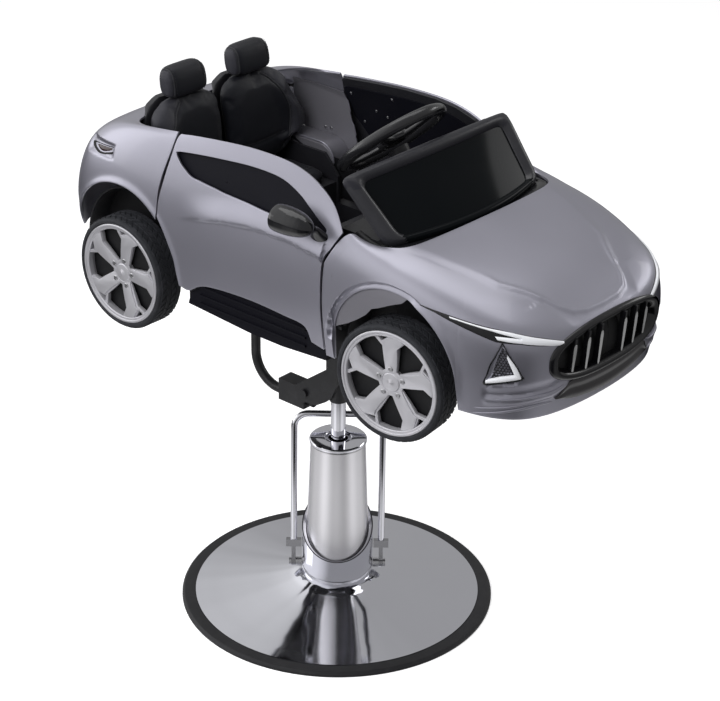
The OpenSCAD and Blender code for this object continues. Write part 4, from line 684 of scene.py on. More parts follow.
def relief(p):
    s = pressed
    x, y, z = p[..., 0], np.abs(p[..., 1]), p[..., 2]
    onSide, onNose = y > s["sideFrom"], x > s["noseFrom"]
    # grille opening
    k = ovalPower(y, z - s["grilleZ"], s["grilleHalfW"], s["grilleHalfH"])
    lift = -s["grilleDeep"] * (1 - climb(k, *s["grilleEdge"])) * (x > s["grilleFrom"])
    # hood crease with the falling band outside it: the hood's middle stands a little proud
    edgeX = np.interp(y, s["creaseY"][::-1], s["creaseX"][::-1])
    edgeY = np.interp(x, s["creaseX"], s["creaseY"])
    away = np.where(x > s["creaseTurnX"], edgeX - x, (edgeY - y) * s["creaseLean"])
    wide = np.interp(x, s["bandX"], s["bandWide"])
    onHood = climb(x, *s["hoodFrom"]) * (z > s["hoodLow"])
    lift = lift - onHood * s["bandDeep"] * hump(-away, 0, wide, wide, wide * 3)
    lift = lift + onHood * s["creaseHigh"] * bell(away, s["creaseWide"]) * climb(x, *s["creaseFrom"])
    # belt step: fades out towards the tail
    above = z - np.interp(x, s["beltX"], s["beltZ"])
    inDoor = climb(x, *s["beltFrom"]) * (x < s["beltTo"])
    lift = lift + inDoor * s["beltStep"] * hump(above, *s["beltHump"]) * onSide
    # rolled lips round the wheel arches
    for cx, cz, r in s["archPlaces"]:
        rolled = bell(np.hypot(x - cx, z - cz) - r, s["archLipWide"])
        lift = lift + s["archLip"] * rolled * onSide * (z > s["archLow"])
    # inner field of the front arch, behind its lip at the rear and the top
    cx, cz, _ = s["archPlaces"][1]
    turn = np.degrees(np.arctan2(z - cz, x - cx))
    field = hump(turn, *s["flapTurns"]) * (y > s["flapFrom"])
    lift = lift - s["flapDeep"] * field * ease((s["flapR"] - np.hypot(x - cx, z - cz)) / s["flapEdge"])
    # scoop under the vent: an open ledge, then the lip with its two fine lines
    above = z - np.interp(y, s["scoopY"], s["scoopZ"])
    corner = onNose * climb(x, *s["scoopFromX"]) * climb(y, *s["scoopFromY"])
    lift = lift - corner * s["scoopDeep"] * hump(above, *s["scoopHollow"])
    lift = lift + corner * s["scoopLip"] * hump(above, *s["scoopEdge"])
    # hollow of the vent
    inner = np.minimum(np.interp(z, s["ventZ"], s["ventOut"]) - y, y - np.interp(z, s["ventZ"], s["ventIn"]))
    lift = lift - s["ventDeep"] * onNose * ease(inner / s["ventEdge"]) * hump(z, *s["ventHump"])
    # recess behind the vent and round the taillight
    (high, fall), (start, lean) = s["tailHigh"], s["tailLean"]
    field = hump(x, *s["tailHump"]) * (y > s["tailFrom"])
    under = 1 - ease((z - high - (x - start) * lean) / fall)
    return lift - s["tailSink"] * field * climb(z, *s["tailLow"]) * under


# Painted panels
panels = {
    "rearSeamShare": 0.6, "rows": 100, "rearArchColumns": 60, "tailColumns": 46, "noseColumns": 104,
    "frontArchColumns": 60, "leadColumns": 6, "archMargin": 2,
    "doorFrontX": 192.32, "doorTipX": 225.92, "doorRearX": -214.24, "doorRearTopX": -195.2,
    "beltZ": 867.2, "rimTopZ": 996, "edge": 1.3, "slantShare": 0.18,
    "doorRows": [0, 0.02, *np.linspace(0.05, 0.95, 60), 0.98, 1],
}
rearArch, frontArch = pressed["archPlaces"]


def archRail(u, arch):
    # Lowest rail share that is outside the wheel arch
    cx, cz, r = arch
    inside = lambda m: np.hypot(skinAt(u, m)[..., 0] - cx, skinAt(u, m)[..., 2] - cz) < r
    v = halve(inside, np.zeros(np.shape(u)), np.full(np.shape(u), 2.5))
    return np.where(v < 0.0025, 0, v)


def frontSeamX(z):
    s = panels
    slant = (z - s["beltZ"]) / (bodySize["height"] * s["slantShare"])
    raked = s["doorFrontX"] + (s["doorTipX"] - s["doorFrontX"]) * slant
    return np.where(z < s["beltZ"], s["doorFrontX"], raked)


def rearSeamX(z):
    s = panels
    rise = ease((z - s["beltZ"]) / (s["rimTopZ"] - s["beltZ"]))
    return s["doorRearX"] + (s["doorRearTopX"] - s["doorRearX"]) * rise


def railsOver(columns, arch):
    # Rail shares from the wheel arch up to the rim, for every column of a panel
    low = archRail(columns, arch)[None, :]
    return low + (lastRail - low) * np.linspace(0, 1, panels["rows"])[:, None]


def rearGrid(depth):
    s, gap = panels, bodySize["panelGap"]
    cx, _, r = rearArch
    rearEnd = float(stationAtX(cx - r - gap / 2, 0)) * np.linspace(0, 1, s["tailColumns"] + 1)
    stop = math.degrees(math.acos((-cx + s["doorRearX"]) / r))
    turn = np.radians(np.linspace(180 - s["archMargin"], stop, s["rearArchColumns"] + 1))
    columns = np.concatenate([rearEnd, stationAtX(cx + r * np.cos(turn), 1.0)])
    v = railsOver(columns, rearArch)
    u = np.broadcast_to(columns[None, :], v.shape)
    edge = stationAtX(rearSeamX(skinAt(u, v)[..., 2]) - gap * s["rearSeamShare"], v)
    right = onto(u * edge / columns[-1], v, -depth)
    return np.concatenate([(right * mirrorY)[:, :0:-1], right], 1)


def frontGrid(depth):
    s, gap = panels, bodySize["panelGap"]
    cx, _, r = frontArch
    first = float(stationAtX(s["doorFrontX"] + gap, 0))
    lead = np.linspace(first, float(stationAtX(cx - r - gap / 2, 0)), s["leadColumns"])
    turn = np.radians(np.linspace(s["archMargin"], 180 - s["archMargin"], s["frontArchColumns"] + 1))
    nose = np.linspace(float(stationAtX(cx + r + gap / 2, 0)), lastStation, s["noseColumns"] + 1)
    columns = np.concatenate([lead, stationAtX(cx - r * np.cos(turn), 1.0), nose])
    v = railsOver(columns, frontArch)
    edge = stationAtX(frontSeamX(skinAt(np.full(v.shape, first), v)[..., 2]) + gap, v)
    right = onto(edge + (columns[None, :] - first) * (lastStation - edge) / (lastStation - first), v, -depth)
    return np.concatenate([right, (right * mirrorY)[:, -2::-1]], 1)


# Door outline and window edge, paired station by station, as shares of length and height
doorPairs = [
    [(0.109, 0.103), (0.073, 0.723)], [(0.109, 0.243), (0.087, 0.723)], [(0.109, 0.400), (0.098, 0.724)],
    [(0.109, 0.589), (0.105, 0.726)], [(0.123, 0.671), (0.107, 0.734)], [(0.137, 0.755), (0.104, 0.749)],
    [(0.102, 0.866), (0.089, 0.771)], [(0.066, 0.938), (0.066, 0.811)], [(0.027, 0.978), (0.036, 0.863)],
    [(-0.017, 0.993), (-0.005, 0.903)], [(-0.082, 0.991), (-0.063, 0.909)],
    [(-0.154, 0.972), (-0.130, 0.894)], [(-0.218, 0.948), (-0.195, 0.874)],
    [(-0.232, 0.929), (-0.226, 0.860)], [(-0.237, 0.829), (-0.227, 0.846)],
    [(-0.243, 0.714), (-0.220, 0.823)], [(-0.250, 0.589), (-0.2125, 0.803)],
    [(-0.251, 0.503), (-0.205, 0.789)], [None, (-0.195, 0.771)], [None, (-0.185, 0.760)],
    [None, (-0.172, 0.756)], [(-0.2125, 0.131), (-0.159, 0.751)], [(-0.192, 0.123), (-0.146, 0.747)],
    [(-0.164, 0.175), (-0.132, 0.743)], [(-0.127, 0.200), (-0.110, 0.736)],
    [(-0.052, 0.214), (-0.061, 0.729)], [(0.023, 0.208), (-0.016, 0.720)],
    [(0.0696, 0.197), (0.029, 0.720)], [(0.083, 0.118), (0.051, 0.721)]]
doorArchTurns, doorArchGap = [32, 14, 0], 2
doorCorners = [0, 5, 17, 20, 21, 28]


def sidePlace(share):
    return np.array([bodySize["middleX"] + bodySize["length"] * share[0],
                     bodySize["lowZ"] + bodySize["height"] * share[1]])


def doorLoops(step=7):
    # Outline and window edge resampled: smooth curves between the outline's true corners
    turns = iter(doorArchTurns)
    outer = []
    for share, _ in doorPairs:
        if share is None:
            angle, reach = math.radians(next(turns)), rearArch[2] + doorArchGap
            outer.append(np.array([rearArch[0] + reach * math.cos(angle),
                                   rearArch[1] + reach * math.sin(angle)]))
        else:
            outer.append(sidePlace(share))
    outer = np.array(outer)
    inner = np.array([sidePlace(share) for _, share in doorPairs])
    marks = doorCorners + [len(outer)]
    madeOut, madeIn = [], []
    for a, b in zip(marks[:-1], marks[1:]):
        for store, loop in ((madeOut, outer), (madeIn, inner)):
            knots = overrun(np.vstack([loop, loop[:1]])[a:b + 1])
            if store is madeIn:      # the window's edge has no corners
                knots[0] = inner[a - 1]
                knots[-1] = inner[(b + 1) % len(inner)]
            store.append(np.concatenate([curveBit(knots, k, step) for k in range(1, b - a + 1)]))
    return np.concatenate(madeOut), np.concatenate(madeIn)


doorOutline, windowEdge = doorLoops()


def doorGrid(depth):
    loops = np.stack([scaled(doorOutline, windowEdge, t) for t in panels["doorRows"]])
    return onto(*sideShares(loops[..., 0], loops[..., 1]), -depth)


def makePanels():
    skin = bodySize["skin"]
    door = sheetOf(doorGrid(0), doorGrid(skin), ring=True)
    shells = [("rearPanel", "rear_shell", sheetOf(rearGrid(0), rearGrid(skin)), "chair"),
              ("frontPanel", "front_shell", sheetOf(frontGrid(0), frontGrid(skin)), "chair"),
              ("rightDoorPanel", "right_door_shell", door, "right_door"),
              ("leftDoorPanel", "left_door_shell", (door[0] * mirrorY, door[1]), "left_door")]
    for name, node, part, body in shells:
        piece = makePiece(name, *part, "body", 40)
        roundEdges(piece, panels["edge"], 3, 55, 40)
        settle(piece, body, "body_silver", node)
        print("panel", name, len(piece.data.polygons))


makePanels()


# Geometry node trees for what repeats
def openTree(name, sockets):
    tree = bpy.data.node_groups.new(name, "GeometryNodeTree")
    tree.interface.new_socket("Geometry", in_out="INPUT", socket_type="NodeSocketGeometry")
    for label, kind in sockets:
        tree.interface.new_socket(label, in_out="INPUT", socket_type=kind)
    tree.interface.new_socket("Geometry", in_out="OUTPUT", socket_type="NodeSocketGeometry")
    board = Board(tree)
    entry = tree.nodes.new("NodeGroupInput")
    wires = {socket.name: Wire(board, socket) for socket in entry.outputs if socket.name}
    return tree, board, wires


def closeTree(board, copies, finish):
    solid = board.add("GeometryNodeRealizeInstances", None, {"Geometry": copies})
    dressed = board.add("GeometryNodeSetMaterial", None, {"Geometry": solid, "Material": finish})
    exit = board.tree.nodes.new("NodeGroupOutput")
    board.tree.links.new(dressed.socket, exit.inputs[0])


def makeRingTree():
    # Copies its geometry round the Z axis
    tree, board, wires = openTree("ringOfCopies", [
        ("Count", "NodeSocketInt"), ("Start", "NodeSocketFloat"), ("Finish", "NodeSocketMaterial")])
    spots = board.add("GeometryNodePoints", None, {"Count": wires["Count"]})
    angle = board.add("GeometryNodeInputIndex") * (2 * math.pi) / wires["Count"] + wires["Start"]
    spin = board.add("ShaderNodeCombineXYZ", None, {"Z": angle})
    copies = board.add("GeometryNodeInstanceOnPoints", None, {
        "Points": spots, "Instance": wires["Geometry"], "Rotation": spin})
    closeTree(board, copies, wires["Finish"])
    return tree


spotLabels = ("aim", "along", "spread")


def makeSpotTree():
    # Sets a shape on every point of its geometry, turned to the point's own direction
    tree, board, wires = openTree("shapeOnSpots", [
        ("Shape", "NodeSocketObject"), ("Size", "NodeSocketFloat"), ("Finish", "NodeSocketMaterial")])
    shape = board.add("GeometryNodeObjectInfo", None, {"Object": wires["Shape"]}, out=4)
    aim, along, spread = (board.add("GeometryNodeInputNamedAttribute", {"data_type": "FLOAT_VECTOR"},
                                    {"Name": label}) for label in spotLabels)
    first = board.add("FunctionNodeAlignRotationToVector", {"axis": "Z"}, {"Vector": aim})
    turned = board.add("FunctionNodeAlignRotationToVector", {"axis": "X", "pivot_axis": "Z"},
                       {"Rotation": first, "Vector": along})
    scale = board.add("ShaderNodeVectorMath", {"operation": "SCALE"}, {0: spread, "Scale": wires["Size"]})
    copies = board.add("GeometryNodeInstanceOnPoints", None, {
        "Points": wires["Geometry"], "Instance": shape, "Rotation": turned, "Scale": scale})
    closeTree(board, copies, wires["Finish"])
    return tree


ringTree, spotTree = makeRingTree(), makeSpotTree()


def runTree(piece, tree, values, degrees=35):
    modifier = piece.modifiers.new("repeat", "NODES")
    modifier.node_group = tree
    for item in tree.interface.items_tree:
        if item.in_out == "INPUT" and item.name in values:
            modifier[item.identifier] = values[item.name]
    piece.update_tag()
    return bake(piece, degrees)


def ringOf(name, part, count, start, finish, degrees=35):
    piece = makePiece(name, *part, finish, degrees)
    return runTree(piece, ringTree, {"Count": count, "Start": start, "Finish": finishes[finish]}, degrees)


def spotsOf(name, places, aims, alongs, spreads, shape, finish, degrees=35):
    # shape is (points, faces) about the origin with Z outwards; aims, alongs and spreads may be one for all
    pattern = makePiece(name + "Shape", *shape, finish, degrees)
    mesh = bpy.data.meshes.new(name)
    mesh.from_pydata((np.asarray(places, float) / 1000).tolist(), [], [])
    for label, values in zip(spotLabels, (aims, alongs, spreads)):
        store = mesh.attributes.new(label, "FLOAT_VECTOR", "POINT")
        values = np.broadcast_to(np.asarray(values, np.float32), (len(places), 3))
        store.data.foreach_set("vector", values.ravel())
    piece = bpy.data.objects.new(name, mesh)
    bpy.context.scene.collection.objects.link(piece)
    runTree(piece, spotTree, {"Shape": pattern, "Size": 1.0, "Finish": finishes[finish]}, degrees)
    for label in spotLabels:
        left = piece.data.attributes.get(label)
        if left:
            piece.data.attributes.remove(left)
    bpy.data.objects.remove(pattern)
    return piece


def placed(piece, matrix):
    # Moves the mesh itself, so that the object stays at the origin
    piece.data.transform(matrix)
    if matrix.determinant() < 0:
        piece.data.flip_normals()
    piece.data.update()
    return piece


def screwHead(radius, high):
    # Domed cross-recess screw: dome rings with a shallow cross sunk in the middle
    turn = circle(16)
    rings = []
    for share, rise in ((1.0, 0.0), (1.0, 0.35), (0.86, 0.75), (0.62, 0.95), (0.4, 1.0), (0.3, 0.55),
                        (0.05, 0.5)):
        reach = radius * share * (1 if share > 0.45 else (0.55 + 0.45 * np.abs(np.cos(2 * turn))))
        rings.append(np.stack([reach * np.cos(turn), reach * np.sin(turn), np.full(16, high * rise)], -1))
    return loftOf(np.array(rings))


# Wheels
wheel = {
    "tyreR": 110, "rimR": 97.7, "width": 60, "padRows": [-11.5, -23.8, -36.2, -48.5], "padWide": 10.6,
    "padLong": 11.6, "padSlant": 4.6, "padCount": 46, "padHigh": 1.6, "padShift": 3.4,
    # One spoke's outlines, as (along, across): the broad lower step and the narrower face on it
    "step": [(18, -12), (40, -14.4), (52, -15.3), (67.5, -16.2), (81.6, -31.4), (85.6, -22.9), (88, -10.8),
             (88.6, 0.8), (76, 17.3), (85, 25.2), (83.5, 29.6), (81.6, 31.4), (67.5, 16.2), (52, 15.3),
             (40, 14.4), (18, 12)],
    "face": [(18, -11.6), (40, -13.9), (52, -14.8), (67.2, -15.7), (80.9, -30.0), (84.9, -22.6),
             (87.2, -10.8), (87.6, -1.2), (74.2, 15.2), (66.5, 11.8), (52, 10.6), (40, 10.6), (18, 11.4)],
    "rimFace": -3.0, "dish": 0.087, "stepDown": 2.3, "spokeBack": -15, "spokeEnd": 88, "spokeCount": 5,
    "hubFace": -9.0, "boltCircle": 25.5, "boltR": 4.9, "rearPhase": 4, "frontPhase": 19.3,
    "rearAxleX": -312, "faceY": 272, "axleZ": 691.5, "kingpinX": 347.942, "kingpinY": 225.8,
    "kingpinOut": 46.2, "restSteer": 7.3,
}


def tyreParts():
    # The tread's grooves are left open between the rows of pads
    s = wheel
    reach = s["tyreR"]
    core = reach - s["padHigh"]
    half = [(97.9, -2.6), (99.6, -0.5), (100.6, -0.1), (101.4, -0.5), (102.2, -0.5), (103.0, -0.15),
            (103.8, -0.6), (105.4, -1.1), (106.6, -2.2), (core - 0.4, -5.2), (core, -7.4)]
    profile = filleted(half + [(r, -s["width"] - z) for r, z in half[::-1]], 1.2, 3)
    pads = []
    for k, z in enumerate(s["padRows"]):
        slant = s["padSlant"] * (1 if k % 2 else -1)
        shift = s["padShift"] * (k % 2)
        ring = []
        for radius, shrink in ((core - 0.6, 0.0), (reach - 0.35, 0.0), (reach, 0.5)):
            level = []
            for a, b in ((-1, -1), (1, -1), (1, 1), (-1, 1)):
                angle = (a * (s["padLong"] / 2 - shrink) + b * slant + shift) / reach
                across = z + b * (s["padWide"] / 2 - shrink)
                level.append((radius * math.cos(angle), radius * math.sin(angle), across))
            ring.append(level)
        pads.append(loftOf(np.array(ring)))
    return lathe(profile, 180), merged(pads)


def spokePlate(outline, drop):
    # A plate whose face leans down towards the hub
    s = wheel
    points, faces = plateOf(filleted(outline, 1.2, 3), s["spokeBack"], 0)
    top = points[:, 2] == 0
    points[top, 2] = s["rimFace"] - drop - s["dish"] * (s["spokeEnd"] - points[top, 0])
    return points, faces


def rimParts():
    s = wheel
    lip = filleted([(s["rimR"], -54), (s["rimR"], -1.6), (96.2, -0.3), (93.4, -0.5), (92.4, -2.2),
                    (88.6, -2.6), (87.4, -4.2), (87.0, -14), (89.6, -16), (90.2, -52), (91.6, -54)],
                   [0.3, 1.0, 1.0, 0.6, 0.5, 1.0, 0.8, 1, 1, 0.5, 0.5], 4)
    h = s["hubFace"]
    hub = filleted([(0.01, -24), (22.5, -24), (22.5, -16), (25.0, h - 2.4), (25.0, h), (18.6, h),
                    (18.0, h - 0.9), (17.4, h), (16.4, h + 0.9), (7.5, h + 1.6), (0.01, h + 4.2)],
                   [0, 0.6, 1, 0.8, 0.8, 0.3, 0.3, 0.3, 0.6, 5, 0], 3)
    spokes = [spokePlate(s["step"], s["stepDown"]), spokePlate(s["face"], 0)]
    return lathe(lip, 180), lathe(hub, 96), merged(spokes)


def makeWheels():
    s = wheel
    tyre, pads = tyreParts()
    lip, hub, spokes = rimParts()
    # disc behind the spokes in the darkest black: painted shade in the wheel's hollow
    inside = lathe([(22.4, -21.6), (89.8, -21.6), (89.8, -19.8), (22.4, -19.8)], 96)
    h, r = s["hubFace"] + 1, s["boltR"]
    points, faces = lathe([(0.01, h - 5), (r * 0.7, h - 5), (r, h - 1.6), (r, h + 0.4), (r * 0.8, h + 1.2),
                           (r * 0.45, h + 1.3), (r * 0.4, h + 0.5), (0.01, h + 0.5)], 18)
    bolts = (points + np.array([s["boltCircle"], 0, 0]), faces)
    steer = Matrix.Rotation(math.radians(s["restSteer"]), 4, "Z")
    outwards = Matrix(((1, 0, 0, 0), (0, 0, -1, 0), (0, 1, 0, 0), (0, 0, 0, 1)))
    flip = Matrix.Diagonal((1, -1, 1, 1))
    for side, mark in sides:
        for end in ("front", "rear"):
            if end == "front":
                place = (s["kingpinX"] / 1000, side * s["kingpinY"] / 1000, s["axleZ"] / 1000)
                matrix = Matrix.Translation(place) @ steer
                reach = s["kingpinOut"]
            else:
                matrix = Matrix.Translation((s["rearAxleX"] / 1000, 0, s["axleZ"] / 1000))
                reach = s["faceY"]
            inner = Matrix.Translation((0, -reach / 1000, 0)) @ outwards
            matrix = matrix @ (flip @ inner if side > 0 else inner)
            phase = math.radians(s[end + "Phase"])
            name = mark + end.title()
            made = [(makePiece(name + "Tyre", *tyre, "tyre", 30), "tyre_black"),
                    (ringOf(name + "Tread", pads, s["padCount"], 0.0, "tyre", 30), "tyre_black"),
                    (makePiece(name + "Barrel", *lip, "rim", 30), "rim_silver"),
                    (makePiece(name + "Hub", *hub, "rim", 30), "rim_silver"),
                    (roundEdges(ringOf(name + "Spokes", spokes, s["spokeCount"], phase, "rim", 22),
                                0.7, 2, 50, 30), "rim_silver"),
                    (ringOf(name + "Bolts", bolts, s["spokeCount"], phase, "bolt", 30), "chrome"),
                    (makePiece(name + "InnerWall", *inside, "dark", 30), "plastic_black")]
            for piece, slot in made:
                settle(placed(piece, matrix), f"{mark}_{end}_wheel", slot)
            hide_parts(f"{mark}_{end}_tyre")
            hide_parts(f"{mark}_{end}_rim")
    print("wheels made")


makeWheels()


# Base, pump and lever
base = {
    "ringOut": 310, "ringIn": 268, "dishR": 283, "dishH": 52, "collarR": 71, "collarWall": 3,
    "collarFront": 105, "collarBack": 198, "turn": 41, "coverLow": 64.5, "coverTop": 54, "coverTall": 290.7,
    "coverZ": 343, "capR": 56.4, "capT": 7, "ramR": 14.5, "ramHole": 19.43, "leverR": 6.5, "legX": 87,
    "bendR": 28, "pivotZ": 66, "leverAngle": 9.22082, "leverLength": 312.032, "clampFloor": 36.2,
    "ramLow": 90, "ramTop": 539.7,
    "dish": [(262, 13.6), (225, 18.4), (180, 25.4), (130, 34.6), (96, 43.5), (82, 49.2), (73.5, 52.0),
             (62, 52.0), (51.1, 52.0)], "dishT": 3.0,
}


def turned(points, angle):
    c, s = math.cos(angle), math.sin(angle)
    points = np.asarray(points, float)
    return np.stack([points[..., 0] * c - points[..., 1] * s, points[..., 0] * s + points[..., 1] * c,
                     points[..., 2]], -1)


def collarShape():
    # Tube round the cover's foot whose rim slants from the back down to the front
    s = base
    outer, wall, low = s["collarR"], s["collarR"] - s["collarWall"], s["dishH"] + 0.3
    middle = (s["collarFront"] + s["collarBack"]) / 2
    rise = (s["collarBack"] - s["collarFront"]) / 2 / outer
    rings = []
    for t in circle(192):
        brim = middle + rise * outer * math.sin(t)
        inner = s["coverLow"] - (brim - s["dishH"]) / s["coverTall"] * (s["coverLow"] - s["coverTop"]) + 1.2
        ring = []
        for r, z in filleted([(outer, low), (outer, 1), (wall, 0.6), (inner, -3.5), (inner, -7), (wall, -9.5),
                              (wall, low)], [0, 1.2, 0.8, 0.8, 0.5, 0.5, 0], 4):
            level = middle + rise * r * math.sin(t) - (1 - z) if -10 < z <= 1.01 else z
            ring.append((r * math.cos(t), r * math.sin(t), level))
        rings.append(ring)
    points, faces = loftOf(np.array(rings), closed=True)
    return turned(points, math.radians(s["turn"])), faces


def leverPath():
    s = base
    corner = np.radians(np.linspace(0, 90, 14))
    half = [(s["legX"], s["clampFloor"])]
    centre = (s["legX"] - s["bendR"], s["leverLength"] - s["bendR"])
    half += [(centre[0] + s["bendR"] * math.cos(a), centre[1] + s["bendR"] * math.sin(a)) for a in corner]
    full = half + [(-x, z) for x, z in half[::-1]]
    path = []
    for (x0, z0), (x1, z1) in zip(full[:-1], full[1:]):
        count = max(1, int(math.hypot(x1 - x0, z1 - z0) / 9))
        path += [(x0 + (x1 - x0) * k / count, 0, z0 + (z1 - z0) * k / count) for k in range(count)]
    path = np.array(path + [(full[-1][0], 0, full[-1][1])])
    a = -math.radians(s["leverAngle"])
    tilted = np.stack([path[:, 0], -path[:, 2] * math.sin(a), path[:, 2] * math.cos(a)], -1)
    return turned(tilted + np.array([0, 0, s["pivotZ"]]), math.radians(s["turn"]))


def makeBase():
    s = base
    step, inside = s["dishR"] + 0.4, s["ringIn"]
    ring = filleted([(inside, 0.2), (s["ringOut"], 0.2), (s["ringOut"], 5.5), (s["ringOut"] - 4.5, 10),
                     (step, 10), (step, 7.7), (inside, 7.7)], [1, 1.5, 3, 3, 1.2, 0.2, 1], 5)
    put("baseRing", lathe(ring, 256), "ring", "rubber_black", "base_ring", body="base")
    # The dish: pressed sheet, slightly concave, rolled up at the neck
    top = smoothPath([(s["dishR"], 11.0)] + s["dish"], 90)
    dish = np.vstack([top, top[::-1] - np.array([0, s["dishT"]])])
    put("baseDish", lathe(dish, 256), "dish", "chrome", "base_plate", body="base", degrees=50)
    put("pumpCollar", collarShape(), "chrome", "chrome", "pump_collar", body="base", degrees=50)
    low, high, z = s["coverLow"], s["coverTop"], s["coverZ"]
    cover = filleted([(low, 52.4), (low - 0.2, 56), (high + 0.1, z - 4), (high - 0.4, z), (high - 2.4, z),
                      (low - 2.4, 52.4)], [0, 2, 2, 0.6, 0.6, 0], 3)
    put("pumpCover", lathe(cover, 192), "dullChrome", "chrome", "pump_cover", body="base", degrees=50)
    r, top = s["capR"], z + s["capT"]
    cap = filleted([(s["ramHole"], z + 0.3), (r, z + 0.3), (r, z + 4.6), (r - 2.6, top), (27, top),
                    (25.5, top - 1.4), (s["ramHole"], top - 1.4)], [0.5, 0.8, 2.0, 2.0, 0.8, 0.6, 0.6], 4)
    put("coverCap", lathe(cap, 192), "chrome", "chrome", "cover_cap", body="base", degrees=50)
    low, high = s["ramLow"], s["ramTop"]
    ram = filleted([(0.01, low), (s["ramR"], low), (s["ramR"], high), (0.01, high)], [0, 1, 1, 0], 3)
    put("liftRam", lathe(ram, 96), "chrome", "chrome", "piston_rod", body="piston", degrees=50)
    lever = tubeOf(leverPath(), s["leverR"], 28)
    put("footLever", lever, "chrome", "chrome", "lever_bar", body="pump_lever", degrees=50)
    print("base made")


makeBase()


# Nose: grille, lamps, vents and lip
def overSkin(shares, lift, side):
    return surfacePlace(shares[..., 0], shares[..., 1], lift, side)


def rowsBetween(first, last, count):
    t = np.linspace(0, 1, count)[:, None, None]
    return first[None] * (1 - t) + last[None] * t


def nosePlace(y, z, lift):
    p = surfacePlace(*noseShares(y, z), lift, 1)
    p[..., 1] *= np.where(np.asarray(y) < 0, -1, 1)
    return p


grille = {
    "halfW": pressed["grilleHalfW"], "halfH": pressed["grilleHalfH"], "height": pressed["grilleZ"],
    "power": 0.77, "oval": 2.6, "around": 144,
    "ring": [(1.062, -3), (1.062, 0.6), (1.050, 3.0), (1.022, 4.8), (0.990, 4.9), (0.962, 3.4), (0.940, -1),
             (0.925, -8), (0.915, -13.5), (0.99, -14.5)],
    "back": (0.95, 0.7, 0.45, 0.2, 0.02), "backLifts": (-12.5, -15.5),
    "slats": [-0.69, -0.46, -0.23, 0.23, 0.46, 0.69], "slatTall": 0.90, "slatLean": 0.12,
    # A slat of half length 30: its black blade, and the bright face on its front, cut like a chisel
    "slatLong": 30, "bladeEnd": 31, "bladeHalf": 2.6, "bladeDeep": (-9.5, 1.5),
    "face": [(-29.5, 0.6, 2.2), (-25, 2.6, 3.4), (0, 3.8, 4.2), (16, 4.4, 4.2), (20.5, 3.4, 3.6),
             (22, 0.6, 2.4)],
}


def grilleLoop(k, lift):
    s = grille
    across, upward = squared(circle(s["around"]), s["power"])
    return nosePlace(s["halfW"] * k * across, s["height"] + s["halfH"] * upward * (1 + (k - 1) * 2.4), lift)


def makeGrille():
    s = grille
    rings = np.stack([grilleLoop(k, lift) for k, lift in s["ring"]], 1)
    put("grilleSurround", loftOf(rings, closed=True), "gloss", "gloss_black", "grille_surround", degrees=50)
    back, under = (np.stack([grilleLoop(k, lift) for k in s["back"]]) for lift in s["backLifts"])
    # the backing takes the darkest black: painted shade inside the grille
    put("grilleBack", sheetOf(back, under, ring=True), "dark", "plastic_black", degrees=50)
    spots = []
    for share in s["slats"]:
        y = share * s["halfW"]
        h = s["halfH"] * s["slatTall"] * (1 - abs(share) ** s["oval"]) ** (1 / s["oval"])
        middle, low, high = (nosePlace(y, s["height"] + d, -3.0) for d in (0, -h, h))
        up = unit(unit(high - low) + np.array([s["slatLean"], 0, 0]))
        out = nosePlace(y, s["height"], 1.0) - middle
        spots.append((middle, out - up * (out @ up), up, (h / s["slatLong"], 1, 1)))
    end, half = s["bladeEnd"], s["bladeHalf"]
    blade = [[(-end, -half, z), (-end, half, z), (end, half, z), (end, -half, z)] for z in s["bladeDeep"]]
    face = [[(x, -wide, 1.4), (x, -wide, 2.0), (x, -wide * 0.2, top), (x, wide, 2.2), (x, wide, 1.4)]
            for x, wide, top in s["face"]]
    settle(spotsOf("grilleBlade", *zip(*spots), loftOf(np.array(blade)), "gloss"), "chair", "gloss_black",
           "grille_slats")
    settle(spotsOf("grilleFace", *zip(*spots), loftOf(np.array(face)), "bright"), "chair", "chrome")
    print("grille made")


headlight = {
    # Edges of the white bars and of the black wedge between them, as shares of the surface
    "barTop": [(9.69, 2.205), (9.80, 2.225), (10.12, 2.262), (10.59, 2.305), (10.80, 2.295), (10.98, 2.245)],
    "barLow": [(9.71, 2.145), (9.82, 2.165), (10.13, 2.19), (10.45, 2.19), (10.75, 2.145), (10.98, 2.075)],
    "legTop": [(10.50, 2.025), (10.62, 2.055), (10.72, 2.07), (10.82, 2.078), (10.90, 2.077), (10.98, 2.075)],
    "legLow": [(10.55, 1.915), (10.66, 1.912), (10.76, 1.910), (10.84, 1.909), (10.91, 1.908),
               (10.98, 1.905)],
    "noseTop": [(10.98, 2.245), (11.18, 2.165), (11.4, 2.07), (11.62, 1.955), (11.80, 1.85), (11.93, 1.765)],
    "noseLow": [(10.98, 1.905), (11.18, 1.868), (11.38, 1.825), (11.58, 1.765), (11.75, 1.725),
                (11.91, 1.725)],
    "shadeTop": [(9.16, 2.155), (9.45, 2.20), (9.69, 2.245), (10.12, 2.30), (10.59, 2.34), (10.98, 2.28),
                 (11.4, 2.105), (11.97, 1.775)],
    "shadeLow": [(9.16, 2.125), (9.42, 2.11), (9.66, 2.05), (10.05, 1.965), (10.52, 1.83), (10.95, 1.872),
                 (11.38, 1.80), (11.96, 1.71)],
}


def bandOf(top, low, count, lifts, side, rows=7):
    # A thin curved plate between two edges; lifts are its back, its edge and its crown
    back, edge, crown = lifts
    shares = rowsBetween(resampled(top, count), resampled(low, count), rows)
    bow = np.sin(np.linspace(0, np.pi, rows))[:, None] ** 0.6
    return sheetOf(overSkin(shares, edge + (crown - edge) * bow, side), overSkin(shares, back, side))


